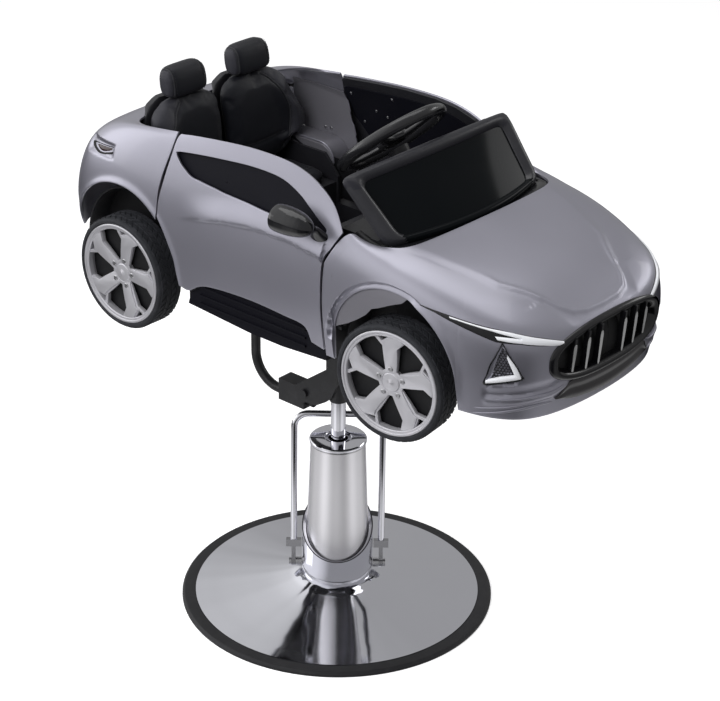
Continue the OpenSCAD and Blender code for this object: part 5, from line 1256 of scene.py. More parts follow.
def makeLamps():
    s = headlight
    for side, mark in sides:
        parts = [bandOf(s[a + "Top"], s[a + "Low"], count, (0.2, 1.6, 3.6), side)
                 for a, count in (("bar", 40), ("leg", 16), ("nose", 34))]
        # the bars' white finish glows: painted light
        bars = put(mark + "LampBars", merged(parts), "lamp", "lens_white", degrees=30)
        shade = bandOf(s["shadeTop"], s["shadeLow"], 90, (-2.2, 0.5, 1.1), side)
        put(mark + "LampShade", shade, "gloss", "gloss_black", degrees=40)
        if side < 0:
            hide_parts("headlights")
    print("lamps made")


vent = {
    "outline": [(10.63, 1.82), (10.58, 1.65), (10.50, 1.41), (10.42, 1.17), (10.37, 0.94), (10.33, 0.71),
                (10.64, 0.80), (10.97, 0.91), (10.93, 1.05), (10.88, 1.19), (10.80, 1.35), (10.72, 1.52)],
    "frame": ((1.06, -2.0), (1.06, 0.4), (1.0, 1.8), (0.94, 1.2), (0.90, -3.0), (0.90, -8.0), (1.0, -8.0)),
    "plate": (0.93, 0.6, 0.3, 0.03), "plateLifts": (-6.5, -8.0),
    "cell": 5.6, "wall": 0.75, "cellDeep": 3.4, "combLift": -4.6,
    "crossOut": [(10.715, 1.50), (10.80, 1.33), (10.875, 1.17), (10.92, 1.04), (10.955, 0.915),
                 (10.80, 0.868), (10.64, 0.815), (10.48, 0.765), (10.345, 0.722)],
    "crossIn": [(10.70, 1.42), (10.74, 1.28), (10.79, 1.13), (10.815, 1.05), (10.835, 0.99), (10.74, 0.965),
                (10.61, 0.925), (10.47, 0.86), (10.35, 0.80)],
}


def insideOf(outline, p):
    # Even-odd test of points against a closed outline
    hit = np.zeros(len(p), bool)
    for (x0, y0), (x1, y1) in zip(outline, np.roll(outline, -1, 0)):
        cross = (y0 > p[:, 1]) != (y1 > p[:, 1])
        at = (x1 - x0) * (p[:, 1] - y0) / (y1 - y0 + 1e-12) + x0
        hit ^= cross & (p[:, 0] < at)
    return hit


def combOf(plate):
    # Places of the honeycomb's cells all over the plate, as shares of the surface
    size = vent["cell"]
    across = np.linalg.norm(surfacePlace(10.9, 1.1, 0) - surfacePlace(10.4, 1.1, 0)) / 0.5
    upward = np.linalg.norm(surfacePlace(10.6, 1.6, 0) - surfacePlace(10.6, 0.8, 0)) / 0.8
    grid = np.array([(10.2 + (i + 0.5 * (j % 2)) * size / across, 0.6 + j * size * 0.866 / upward)
                     for j in range(24) for i in range(16)])
    return grid[insideOf(plate, grid)]


def combCell():
    s = vent
    r, deep = s["cell"] / math.sqrt(3), s["cellDeep"]
    steps = ((r + 0.05, -2.2), (r + 0.05, deep - 2.2), (r - s["wall"], deep - 2.6), (r - s["wall"], -2.2))
    turn = np.radians(np.arange(6) * 60 + 30)
    rings = [[(q * math.cos(a), q * math.sin(a), z) for a in turn] for q, z in steps]
    return loftOf(np.array(rings), closed=True)


def makeVents():
    s = vent
    outline = smoothPath(s["outline"], 90, closed=True)
    centre = outline.mean(0)
    plate = np.stack([scaled(outline, centre, k) for k in s["plate"]])
    grid = combOf(plate[0])
    for side, mark in sides:
        rings = np.stack([overSkin(scaled(outline, centre, k), lift, side) for k, lift in s["frame"]], 1)
        back = sheetOf(*(overSkin(plate, lift, side) for lift in s["plateLifts"]), ring=True)
        body = put(mark + "VentFrame", merged([loftOf(rings, closed=True), back]), "gloss", "gloss_black",
                   degrees=40)
        if side < 0:
            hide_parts("side_vents")
        places = overSkin(grid, s["combLift"], side)
        aims = facing(grid[:, 0], grid[:, 1]) * np.array([1, side, 1])
        ahead = overSkin(grid + np.array([0.05, 0]), s["combLift"], side) - places
        comb = spotsOf(mark + "VentComb", places, aims, ahead, (1, 1, 1), combCell(), "trim")
        settle(comb, "chair", "plastic_black")
        blade = bandOf(s["crossOut"], s["crossIn"], 60, (-2.5, 1.0, 2.6), side)
        # the blade's white finish glows: painted light
        put(mark + "VentBlade", blade, "lamp", "lens_white", degrees=30)
    print("vents made")


lip = {
    "upper": [(0, 721.5), (40, 722.5), (75, 724.5), (98, 727.5), (109, 726), (118, 716), (126, 706),
              (133, 700.5)],
    "lower": [(0, 678), (17, 678.5), (45, 681), (77, 685.5), (98, 690), (110, 693.5), (122, 696.5),
              (131, 699)],
    # Rows from the upper to the lower edge: how far they bulge, and depth, share and width of the hollow
    "rows": 9, "bulge": 1.4, "hollow": (2.2, 0.45, 0.18), "lifts": (2.0, -2.5),
}


def makeLip():
    halves = [smoothPath(lip[edge], 40) for edge in ("upper", "lower")]
    grid = rowsBetween(*(np.vstack([half[::-1] * [-1, 1], half[1:]]) for half in halves), lip["rows"])
    share = np.linspace(0, 1, lip["rows"])[:, None]
    (deep, at, wide), (face, under) = lip["hollow"], lip["lifts"]
    bow = np.sin(share * np.pi) ** 0.5 * lip["bulge"] - deep * bell(share - at, wide)
    outer, inner = (nosePlace(grid[..., 0], grid[..., 1], lift) for lift in (face + bow, under))
    put("lowerLip", sheetOf(outer, inner), "lipGloss", "gloss_black", "front_lip", degrees=40)
    print("lip made")


def makeNoseLines():
    # Ridges of the lip and the edge of the scoop under each vent, sunk into the skin at their ends
    s = pressed
    lines = [(s["lineY"], s["lineZ"][0], 3.2, 0.6), (s["lineY"], s["lineZ"][1], 3.6, 0.6),
             (s["scoopY"], s["scoopZ"], 2.6, 2.0)]
    for side, mark in sides:
        parts = []
        for across, heights, radius, lift in lines:
            path = smoothPath(np.column_stack([across, heights]), 60)
            t = np.linspace(0, 1, len(path))
            sunk = -s["lineSink"] * (1 - climb(t, *s["lineStart"])) - s["lineSink"] * climb(t, *s["lineStop"])
            ridge = nosePlace(path[:, 0], path[:, 1], lift - radius * 0.45 + sunk)
            ridge[:, 1] *= side
            parts.append(tubeOf(ridge, radius * (0.5 + 0.5 * np.sin(np.pi * np.clip(t, 0.1, 0.9))), 10))
        put(mark + "NoseLines", merged(parts), "body", "body_silver", degrees=60)
    print("nose lines made")


tail = {
    "outline": [(-411, 923), (-370, 927.5), (-328, 929.5), (-345, 919), (-379, 910.5), (-402, 915)],
    # the housing's darkest black is painted shade in the lamp's pocket
    "pieces": [("TailHousing", "dark", "gloss_black",
                ((1.1, -6), (1.1, -2.2), (1.02, -1.4), (0.80, -3.2), (0.80, -7))),
               ("TailLens", "tail", "lens_red",
                ((0.78, -7), (0.78, -4.4), (0.66, -3.6), (0.4, -3.2), (0.05, -3.1)))],
}


def makeTails():
    outline = smoothPath(tail["outline"], 60, closed=True)
    u, v = sideShares(outline[:, 0], outline[:, 1])
    shares, middle = np.stack([u, v], -1), np.array([u.mean(), v.mean()])
    for side, mark in sides:
        for name, finish, slot, steps in tail["pieces"]:
            rings = np.stack([overSkin(scaled(shares, middle, k), lift, side) for k, lift in steps])
            piece = put(mark + name, loftOf(rings), finish, slot, degrees=40)
            if name == "TailLens" and side < 0:
                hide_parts("taillights")
    print("tail lamps made")


makeGrille()
makeLamps()
makeVents()
makeLip()
makeNoseLines()
makeTails()


# Windshield, cowl and mirrors
screen = {
    "pillarAcross": (0.82, 0.08), "pillarUp": (0.8, 0.15),
    # Glass: half width with its growth upwards, ends in height, and how its top draws in
    "glassHalf": (0.845, 0.02, 0.1, 0.76), "glassRise": (0.097, 0.872), "glassPinch": 0.045,
    "glassTop": (0.80, 0.07), "glassLifts": (-1.6, -5.0),
    "lowX": 334, "highX": 211.36, "sweep": 38.08, "lowY": 209, "highY": 224.95, "lowZ": 909.4, "highZ": 1014,
    "bow": 8,
    "out": [(-1, 0), (-0.66, 0), (-0.33, 0), (0, 0), (0.33, 0), (0.66, 0), (1, 0), (1, 0.5), (1, 0.94),
            (0.96, 1), (0.6, 1), (0.3, 1), (0, 1), (-0.3, 1), (-0.6, 1), (-0.96, 1), (-1, 0.94), (-1, 0.5)],
    "in": [(-0.85, 0.1), (-0.6, 0.1), (-0.3, 0.1), (0, 0.1), (0.3, 0.1), (0.6, 0.1), (0.85, 0.1), (0.86, 0.5),
           (0.87, 0.8), (0.82, 0.86), (0.55, 0.86), (0.28, 0.86), (0, 0.86), (-0.28, 0.86), (-0.55, 0.86),
           (-0.82, 0.86), (-0.87, 0.8), (-0.86, 0.5)],
    # Across the frame from its inner to its outer edge: share and height
    "section": [(-0.05, -6), (-0.05, -1.2), (0.02, 0.4), (0.12, 2.6), (0.30, 5.4), (0.50, 6.4), (0.70, 5.2),
                (0.88, 2.4), (1.0, -1.6), (1.0, -6)],
    "pillarSwell": 3.2, "bandFrom": 0.85, "footTo": 0.12, "footWide": 0.84,
    # Cowl from the screen's foot to the painted edge: share and sag, corners from cowlY outwards
    "cowl": ((-0.12, 0.0), (0.0, 0.4), (0.3, 1.2), (0.6, 0.9), (0.85, -0.2), (1.0, -1.8)), "cowlY": 206,
    "cowlFrom": 8.02, "cowlCount": 70,
}
outOfScreen = np.array([0.649, 0, 0.761])


def screenPlace(s, t, lift=0.0):
    c = screen
    s, t = np.broadcast_arrays(np.asarray(s, float), np.asarray(t, float))
    x = (c["lowX"] - c["sweep"] * s * s) * (1 - t) + (c["highX"] - c["sweep"] * 0.25 * s * s) * t
    y = (c["lowY"] * (1 - t) + c["highY"] * t) * s
    z = c["lowZ"] * (1 - t) + c["highZ"] * t + c["bow"] * t * (1 - s * s)
    return np.stack([x, y, z], -1) + np.asarray(lift)[..., None] * outOfScreen


def roundLoop(points, step, corner):
    # Resamples a closed loop evenly between its points, rounding each by a share of its legs
    p = np.asarray(points, float)
    made = []
    for k in range(len(p)):
        a, b, c = p[k - 1], p[k], p[(k + 1) % len(p)]
        start, end, onward = b + (a - b) * corner, b + (c - b) * corner, c + (b - c) * corner
        for j in range(step):
            u = j / step * 2
            made.append(cornerAt(u, start, b, end) if j < step // 2 else end + (onward - end) * (u - 1))
    return np.array(made)


def makeWindshield():
    c = screen
    outer, inner = roundLoop(c["out"], 8, 0.3), roundLoop(c["in"], 8, 0.3)
    rings = []
    for across, lift in c["section"]:
        q = scaled(outer, inner, across)
        pillar = climb(np.abs(q[:, 0]), *c["pillarAcross"]) * (1 - climb(q[:, 1], *c["pillarUp"]))
        rings.append(screenPlace(q[:, 0], q[:, 1], lift * (1 + pillar * c["pillarSwell"] / 6 * (lift > 0))))
    bar = makePiece("windshieldFrame", *loftOf(np.stack(rings, 1), closed=True), "satin", 60)
    # The pillars keep the lighter finish as a painted highlight; the top band takes a darker copy of the same
    # plastic and the foot the screen's near-black
    for finish in ("band", "screen"):
        bar.data.materials.append(finishes[finish])
    for face in bar.data.polygons:
        t = (face.center[2] * 1000 - c["lowZ"]) / (c["highZ"] - c["lowZ"])
        across = abs(face.center[1] * 1000) / (c["lowY"] * (1 - t) + c["highY"] * t)
        atFoot = t < c["footTo"] and across < c["footWide"]
        face.material_index = 1 if t > c["bandFrom"] else (2 if atFoot else 0)
    settle(bar, "chair", "plastic_black", "windshield_frame")
    half, spread, low, tall = c["glassHalf"]
    t = np.linspace(*c["glassRise"], 16)[:, None]
    s = np.linspace(-1, 1, 40)[None, :] * (half + spread * (t - low) / tall)
    s = s * (1 - c["glassPinch"] * climb(t, *c["glassTop"]))
    glass = sheetOf(*(screenPlace(s, t, lift) for lift in c["glassLifts"]))
    put("windshieldGlass", glass, "screen", "screen_tint", "windshield_screen", degrees=60)
    print("windshield made")


def makeCowl():
    c, count = screen, screen["cowlCount"]
    u = np.linspace(c["cowlFrom"], lastStation, count)
    u = np.concatenate([u, np.linspace(lastStation, c["cowlFrom"], count)[1:]])
    edge = surfacePlace(u, float(lastRail), -4.5, 1)
    edge[:count, 1] *= -1
    foot = screenPlace(np.clip(edge[:, 1], -c["cowlY"], c["cowlY"]) / c["lowY"], 0.0, -3.0)
    corner = np.abs(edge[:, 1]) > c["cowlY"]
    foot[:, 0] = np.where(corner, np.minimum(foot[:, 0], edge[:, 0] - 4), foot[:, 0])
    foot[:, 2] = np.where(corner, edge[:, 2] - 1, foot[:, 2])
    upper = np.stack([foot * (1 - k) + edge * k + np.array([0, 0, sag]) for k, sag in c["cowl"]])
    put("cowl", sheetOf(upper, upper - np.array([0, 0, 3.0])), "gloss", "plastic_black", degrees=60)
    print("cowl made")


mirror = {
    "podX": 105, "podL": 82, "podY": 281.05, "podZ": 937.9, "slim": 0.80, "sink": 4.5, "inset": 0.985,
    "rings": [(0, 0.80, 0.82, 0), (0.012, 0.88, 0.90, 0), (0.035, 0.95, 0.96, 0), (0.1, 0.985, 0.99, 0),
              (0.2, 1, 1, 0), (0.33, 0.975, 0.985, -0.01), (0.45, 0.95, 0.95, -0.02),
              (0.58, 0.89, 0.88, -0.04), (0.7, 0.80, 0.79, -0.06), (0.8, 0.69, 0.67, -0.09),
              (0.88, 0.56, 0.53, -0.11), (0.95, 0.37, 0.34, -0.13), (1, 0.08, 0.07, -0.15)],
    # Share of the rim and depth behind it, for the hollow at the back and for the glass in it
    "hollow": ((0.05, 3.4), (0.90, 3.2), (0.93, 0.2)),
    "glass": ((0.88, 3.0), (0.88, 1.6), (0.82, 1.2), (0.05, 1.0)),
    # Ridge and fold along the pod: share, turn and width in degrees
    "creases": ((0.035, 205, 9), (-0.03, 222, 7)), "plainTo": 0.02,
    # The foot's half width and half thickness at its start, less in its waist and more at its end
    "footInner": (166, 12, -7), "footOuter": (172.0, 905.0), "footArch": 5, "footEarly": 1.15,
    "footWide": (19, 6.5, 3.5), "footThick": (8.5, 2.0, 2.5),
}


def makeMirrors():
    s = mirror
    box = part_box("right_mirror")
    halfW = -box[0][1] * 1000 - s["podY"]
    halfH = (box[1][2] * 1000 - s["podZ"]) * s["slim"]
    podZ = s["podZ"] - s["sink"]
    a = circle(72)
    along = np.concatenate([np.linspace(0, 0.05, 6)[:-1], np.linspace(0.05, 1, 40)])
    rings = []
    for k in along:
        w, h, drop = readOff(s["rings"], k)
        ridge, fold = (1 + deep * bell(np.degrees(a) - at, wide) * (k > s["plainTo"])
                       for deep, at, wide in s["creases"])
        rings.append(np.stack([np.full(len(a), s["podX"] + s["podL"] * k),
                               -s["podY"] - halfW * s["inset"] * w * np.cos(a) * ridge * fold,
                               podZ + halfH * s["inset"] * (h * np.sin(a) * fold + drop)], -1))
    rim = rings[0]
    hollow, glass = ([scaled(rim, rim.mean(0), k) + np.array([d, 0, 0]) for k, d in s[key]]
                     for key in ("hollow", "glass"))
    # foot: blends from the pod's inner side down to the door's shoulder
    x, y, z = s["footInner"]
    start = np.array([x, -s["podY"] + y, podZ + z])
    stop = surfacePlace(*sideShares(*s["footOuter"]), -3.0)
    lean = unit(stop - start)
    lengthwise = np.array([1, 0, 0.06])
    lengthwise = unit(lengthwise - lean * (lengthwise @ lean))
    widthwise = np.cross(lean, lengthwise)
    turn = circle(30)[:, None]
    foot, wide, thick = [], s["footWide"], s["footThick"]
    for k in np.linspace(0, 1, 9):
        arch = math.sin(math.pi * k)
        centre = start * (1 - k) + stop * k + np.array([0, 0, s["footArch"] * arch])
        reach = wide[0] - wide[1] * math.sin(math.pi * min(1, k * s["footEarly"])) + wide[2] * k
        slim = thick[0] - thick[1] * arch + thick[2] * k
        foot.append(centre + reach * np.cos(turn) * lengthwise + slim * np.sin(turn) * widthwise)
    points, faces = merged([loftOf(np.array(hollow + rings)), loftOf(np.array(foot))])
    glassPoints, glassFaces = loftOf(np.array(glass))
    for side, mark in ((1, "right"), (-1, "left")):
        way, door = np.array([1, side, 1]), mark + "_door"
        put(mark + "MirrorPod", (points * way, faces), "pod", "gloss_black", mark + "_mirror", body=door,
            degrees=40)
        put(mark + "MirrorGlass", (glassPoints * way, glassFaces), "glass", "chrome", body=door, degrees=40)
    print("mirrors made")


makeWindshield()
makeCowl()
makeMirrors()


# Padded seats
soft = {"voxel": 0.005, "pressure": 4.0, "frames": 20, "shrink": 2.6, "groove": 2.2, "grooveWide": 4.5,
        "pipe": 1.5, "pipeUp": 0.7, "stitch": 5.5, "aside": 3.6, "threadFlat": (0.9, 0.55),
        "thread": ((-1.9, 0.12), (-1.5, 0.55), (0, 0.65), (1.5, 0.55), (1.9, 0.12))}
rest = {"low": 1002.2, "high": 1062, "x": -315.93, "y": 85.8, "halfW": 53.35, "halfT": 23.65, "lean": 0.16,
        "rings": [(0, 0.90, 0.80), (0.06, 0.97, 0.92), (0.3, 1, 1), (0.65, 0.98, 1), (0.85, 0.91, 0.86),
                  (0.96, 0.76, 0.6), (1, 0.55, 0.3)], "seamAt": 0.74}
back = {"low": 816, "high": 1001.6, "unit": 219.7, "thick": 41.25, "gap": 4.6,
        # Face of the seat shell behind the pads: (height, x) at its two ends, and how far off it is
        "face": ((790.55, -308.32), (999.85, -336.32), 0.6),
        "rings": [(0, 0.2, 0.56, 0), (0.05, 0.06, 0.70, 0.1), (0.13, 0.02, 0.765, 0.3),
                  (0.18, 0.02, 0.785, 0.45), (0.23, 0.02, 0.79, 0.7), (0.265, 0.02, 0.88, 0.9),
                  (0.32, 0.02, 0.95, 1), (0.45, 0.02, 0.955, 1), (0.58, 0.02, 0.90, 0.9),
                  (0.72, 0.02, 0.84, 0.6), (0.85, 0.03, 0.80, 0.35), (0.93, 0.07, 0.74, 0.1),
                  (0.98, 0.15, 0.66, 0), (1, 0.2, 0.6, 0)],
        "seam": [(0.63, 0.06), (0.655, 0.2), (0.70, 0.34), (0.715, 0.5), (0.69, 0.66), (0.63, 0.8),
                 (0.56, 0.90), (0.5, 0.955)],
        "waist": (0.10, 0.66), "plump": (0.3, 0.7), "swing": 0.45, "swingFrom": (0.3, 0.5)}
seat = {"low": 788.8, "high": 815, "back": -308.02, "front": -162.32, "halfW": 168.8,
        "rings": [(0, 0.3), (0.18, 0.06), (0.5, 0), (0.74, 0.1), (0.9, 0.42), (0.98, 1), (1, 2)],
        "seams": (((-296, 0), (-174, 0)), ((-206, -158), (-206, 158)))}


def backFaceX(z):
    (lowZ, lowX), (highZ, highX), off = back["face"]
    return lowX + (z - lowZ) / (highZ - lowZ) * (highX - lowX) + off


def coordsOf(mesh):
    flat = np.empty(len(mesh.vertices) * 3)
    mesh.vertices.foreach_get("co", flat)
    return flat.reshape(-1, 3)


def normalsOf(mesh):
    flat = np.empty(len(mesh.vertices) * 3)
    mesh.vertex_normals.foreach_get("vector", flat)
    return flat.reshape(-1, 3)


def putCoords(mesh, points):
    mesh.vertices.foreach_set("co", np.ascontiguousarray(points, float).ravel())
    mesh.update()


def swell(piece, cap, keep):
    # Cloth under pressure rounds the pad; no point moves more than cap, and keep holds it off its neighbours
    remesh = piece.modifiers.new("remesh", "REMESH")
    remesh.mode = "VOXEL"
    remesh.voxel_size = soft["voxel"]
    bake(piece)
    before = coordsOf(piece.data)
    pad = piece.modifiers.new("pad", "CLOTH")
    pad.settings.use_pressure = True
    pad.settings.uniform_pressure_force = soft["pressure"]
    pad.settings.effector_weights.gravity = 0
    pad.point_cache.frame_start = 1
    pad.point_cache.frame_end = soft["frames"]
    for frameNumber in range(1, soft["frames"] + 1):
        bpy.context.scene.frame_set(frameNumber)
    bake(piece)
    bpy.context.scene.frame_set(1)
    moved = coordsOf(piece.data) - before
    reach = np.linalg.norm(moved, axis=1, keepdims=True)
    moved *= np.minimum(1, cap / 1000 / np.maximum(reach, 1e-9))
    putCoords(piece.data, keep((before + moved) * 1000) / 1000)
    finer = piece.modifiers.new("finer", "SUBSURF")
    finer.levels = finer.render_levels = 1
    bake(piece)


def sewn(piece, paths):
    # Draws the pad in along its seams
    points = coordsOf(piece.data) * 1000
    along = np.vstack(paths)
    tree = KDTree(len(along))
    for k, p in enumerate(along):
        tree.insert(p, k)
    tree.balance()
    near = np.array([tree.find(p)[2] for p in points])
    deep = soft["groove"] * np.exp(-(near / soft["grooveWide"]) ** 2)
    putCoords(piece.data, (points - normalsOf(piece.data) * deep[:, None]) / 1000)


def panelled(piece, finish, test):
    # Faces that pass the test take the second finish
    piece.data.materials.append(finishes[finish])
    for face in piece.data.polygons:
        centre = np.array(face.center) * 1000
        face.material_index = 1 if test(centre) else 0


def treeOf(piece):
    shape = bmesh.new()
    shape.from_mesh(piece.data)
    tree = BVHTree.FromBMesh(shape)
    shape.free()
    return tree


def castTo(tree, starts, aims):
    # Points and normals where rays meet a pad; one start or one aim may stand for all
    starts, aims = np.broadcast_arrays(np.asarray(starts, float), np.asarray(aims, float))
    found = [tree.ray_cast(Vector(start / 1000), Vector(aim))[:2] for start, aim in zip(starts, aims)]
    found = [hit for hit in found if hit[0] is not None]
    return np.array([hit[0] for hit in found]) * 1000, np.array([hit[1] for hit in found])


def padOf(name, rings, cap, keep):
    piece = makePiece(name, *loftOf(np.array(rings)), "leather", 180)
    swell(piece, cap, keep)
    return piece, treeOf(piece)


def pipingOn(name, path, normals, closed=False):
    # Piping that lies in the groove of a seam
    path = path - normals * (soft["groove"] - soft["pipeUp"])
    put(name + "Piping", tubeOf(path, soft["pipe"], 8, closed), "piping", "padding_black", degrees=60)


def stitchRow(name, path, normals, aside):
    ahead = np.gradient(path, axis=0)
    ahead /= np.linalg.norm(ahead, axis=1, keepdims=True)
    across = np.cross(normals, ahead)
    run = runOf(path)
    pick = np.clip(np.searchsorted(run, np.arange(3, run[-1] - 3, soft["stitch"])), 0, len(path) - 1)
    places = path[pick] + across[pick] * aside + normals[pick] * 0.05
    turn = np.radians(np.arange(6) * 60)
    wide, high = soft["threadFlat"]
    thread = loftOf(np.array([[(x, r * math.cos(a) * wide, r * math.sin(a) * high) for a in turn]
                              for x, r in soft["thread"]]))
    piece = spotsOf(name + "Stitches", places, normals[pick], ahead[pick], (1, 1, 1), thread, "piping")
    settle(piece, "chair", "padding_black")


def makeHeadrest(side, mark):
    s, shrink = rest, soft["shrink"]
    q0, q1 = squared(circle(56), 0.5)
    rings = []
    for k in np.linspace(0, 1, 22):
        w, t = readOff(s["rings"], k)
        z = s["low"] + shrink * 0.4 + (s["high"] - s["low"] - shrink * 1.2) * k
        rings.append(np.stack([s["x"] - (z - s["low"]) * s["lean"] + q0 * (s["halfT"] * t - shrink),
                               side * (s["y"] + q1 * (s["halfW"] * w - shrink)), np.full(len(q0), z)], -1))

    def keep(p):
        p[:, 2] = np.clip(p[:, 2], s["low"] + 0.1, s["high"] + 1.5)
        return p

    name = mark + "Headrest"
    piece, tree = padOf(name, rings, 4.5, keep)
    middle = (s["low"] + s["high"]) / 2 + 2
    aims = [(math.cos(b), 0, math.sin(b)) for b in circle(90)]
    seams = []
    for end in (-1, 1):
        y = side * s["y"] + end * s["halfW"] * s["seamAt"]
        seams.append(castTo(tree, (s["x"] - (middle - s["low"]) * s["lean"], y, middle), aims))
    sewn(piece, [path for path, _ in seams])
    panelled(piece, "leatherSide", lambda c: abs(abs(c[1]) - s["y"]) > s["halfW"] * s["seamAt"])
    softShade(piece.data, 180)
    settle(piece, "chair", "padding_black")
    for k, (path, normals) in enumerate(seams):
        pipingOn(name + str(k), path, normals, True)
        use = path[:, 2] > s["low"] + 4
        order = np.argsort(np.arctan2(path[use][:, 2] - middle, path[use][:, 0] - s["x"]))
        toward = 1 if (k == 0) == (side > 0) else -1
        stitchRow(name + str(k), path[use][order], normals[use][order], soft["aside"] * toward)
    return piece


def makeBack(side, mark):
    s, shrink = back, soft["shrink"]
    low, tall = s["low"], s["high"] - s["low"]
    q0, q1 = squared(circle(84), 0.45)
    rings = []
    for k in np.linspace(0, 1, 46):
        inner, outer, swing = readOff(s["rings"], k)
        z = low + shrink * 0.5 + (tall - shrink) * k
        half, mid = (outer - inner) / 2 * s["unit"] - shrink, (outer + inner) / 2 * s["unit"]
        plump = math.sqrt(max(0, 1 - abs(2 * k - 1) ** 4)) * s["plump"][0] + s["plump"][1]
        outwards = climb(q0, *s["swingFrom"])
        puff = s["thick"] * plump * (0.5 + 0.5 * q1) * (1 + swing * s["swing"] * outwards)
        deep = shrink * (0.5 + 0.5 * q1)
        rings.append(np.stack([backFaceX(z) + 0.4 + puff - deep, side * (mid + half * q0),
                               np.full(len(q0), z)], -1))

    def keep(p):
        p[:, 2] = np.clip(p[:, 2], low + 0.05, s["high"] - 0.05)
        p[:, 0] = np.maximum(p[:, 0], backFaceX(p[:, 2]) + 0.1)
        p[:, 1] = np.where(side * p[:, 1] < s["gap"], side * s["gap"], p[:, 1])
        return p

    name = mark + "SeatBack"
    piece, tree = padOf(name, rings, 5.0, keep)
    seam = smoothPath(s["seam"], 90)
    waist = np.linspace(*s["waist"], 50)
    found = []
    for share, high in ((seam[:, 0], seam[:, 1]), (waist, 0.30 - 0.02 * np.sin(waist * 5))):
        starts = np.stack([np.full(len(share), -200.0), side * share * s["unit"], low + tall * high], -1)
        found.append(castTo(tree, starts, (-1, 0, 0)))
    (path, normals), (cross, crossNormals) = found
    sewn(piece, [path, cross])
    edge = np.interp((np.linspace(low, s["high"], 200) - low) / tall, seam[:, 1], seam[:, 0]) * s["unit"]

    def bolster(c):
        return side * c[1] > edge[np.clip(int((c[2] - low) / tall * 199), 0, 199)]

    panelled(piece, "leatherSide", bolster)
    softShade(piece.data, 180)
    settle(piece, "chair", "padding_black")
    pipingOn(name, path, normals)
    stitchRow(name, path, normals, -soft["aside"] * side)
    stitchRow(mark + "Waist", cross, crossNormals, 2.4)
    return piece


def makeCushion():
    s, shrink = seat, soft["shrink"]
    tall = s["high"] - s["low"]
    q0, q1 = squared(circle(160), 0.35)
    rings = []
    for k in np.concatenate([np.linspace(0, 0.9, 12), [0.94, 0.97, 0.985, 1]]):
        d = readOff(s["rings"], k)[0] * tall + shrink
        rings.append(np.stack([(s["back"] + s["front"]) / 2 + q0 * ((s["front"] - s["back"]) / 2 - d),
                               q1 * (s["halfW"] - d),
                               np.full(len(q0), s["low"] + 1 + (tall - shrink) * k)], -1))

    def keep(p):
        p[:, 2] = np.clip(p[:, 2], s["low"] + 0.1, s["high"] + 0.6)
        p[:, 0] = np.clip(p[:, 0], s["back"] + 0.1, s["front"] - 0.1)
        return p

    piece, tree = padOf("seatCushion", rings, 6.0, keep)
    seams = []
    for start, stop in s["seams"]:
        flat = np.linspace(start, stop, 120)
        seams.append(castTo(tree, np.column_stack([flat, np.full(len(flat), 900.0)]), (0, 0, -1)))
    sewn(piece, [path for path, _ in seams])
    softShade(piece.data, 180)
    settle(piece, "chair", "padding_black", "seat_cushion")
    for k, (path, normals) in enumerate(seams):
        pipingOn("cushion" + str(k), path, normals)
        stitchRow("cushion" + str(k), path, normals, 3.2)
    print("cushion made")


def makeSeats():
    rests = [makeHeadrest(side, mark) for side, mark in sides]
    backs = [makeBack(side, mark) for side, mark in sides]


    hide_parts("headrests")
    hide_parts("seat_backs")
    makeCushion()
    print("seats made")


makeSeats()


# Steering wheel
steering = {
    "centre": (122.208, 0, 1002.51), "axis": (-0.669, 0, 0.743), "radius": 100, "rim": 10.8, "turn": 29.2,
    "grips": (68, 112, 248, 292, 0), "spokes": (90, 180, 270),
    # One spoke outwards: radius, half width, half thickness and height
    "spoke": [(24, 15, 6.5, -7), (34, 12.5, 6, -6.5), (48, 9.5, 5, -5.5), (66, 8.2, 4.6, -4),
              (80, 9.0, 4.8, -2), (92, 12.0, 5.0, 0)],
    "boss": [(19.6, -12), (27, -12), (30.4, -9), (31, -3), (29.5, 0.5), (25.5, 2.2), (21.5, 2.6),
             (19.6, 1.6)],
}


def steerPlace(p):
    # Local plane: first axis to the right of the driver, second up the wheel, third towards the driver
    out = unit(np.array(steering["axis"]))
    right = np.array([0, 1, 0])
    up = np.cross(out, right)
    p = np.asarray(p, float)
    return np.array(steering["centre"]) + p[..., :1] * right + p[..., 1:2] * up + p[..., 2:] * out


def makeSteering():
    s = steering
    around, turn = circle(24), circle(20)
    rings = []
    for a in circle(120):
        off = np.degrees(a) - s["turn"]
        grip = 1 + 0.05 * sum(bell((off - g + 180) % 360 - 180, 9) for g in s["grips"])
        dents = 1 + 0.018 * math.cos(a * 36) * ((off + 360) % 360 < 60 or (off + 360) % 360 > 300)
        reach = s["radius"] + s["rim"] * grip * 0.94 * np.cos(around)
        rings.append(np.stack([reach * math.cos(a), reach * math.sin(a),
                               s["rim"] * grip * dents * np.sin(around)], -1))
    parts = [loftOf(np.array(rings), closed=True)]
    for spoke in s["spokes"]:
        rows = [np.stack([np.full(20, float(r)), half * np.cos(turn), drop + thick * np.sin(turn)], -1)
                for r, half, thick, drop in s["spoke"]]
        parts.append(loftOf(turned(np.array(rows), math.radians(spoke + s["turn"]))))
    points, faces = merged(parts + [lathe(s["boss"], 72)])
    put("steeringWheel", (steerPlace(points), faces), "wheelGrip", "plastic_black", "steering_wheel",
        body="steering", degrees=50)
    print("steering wheel made")


makeSteering()


# Fillers of the front wheel arches, in the darker quarter lacquer: painted shade on a surface that is
# body-coloured
flap = {"lower": [(200, 738), (225, 755), (249, 768), (270, 782), (293, 800), (305, 815), (321, 822),
                  (350, 837), (371, 846), (380, 856), (384, 862)],
        "lifts": (-8.4, -11.4), "centre": (350, 727.14), "radius": 147}


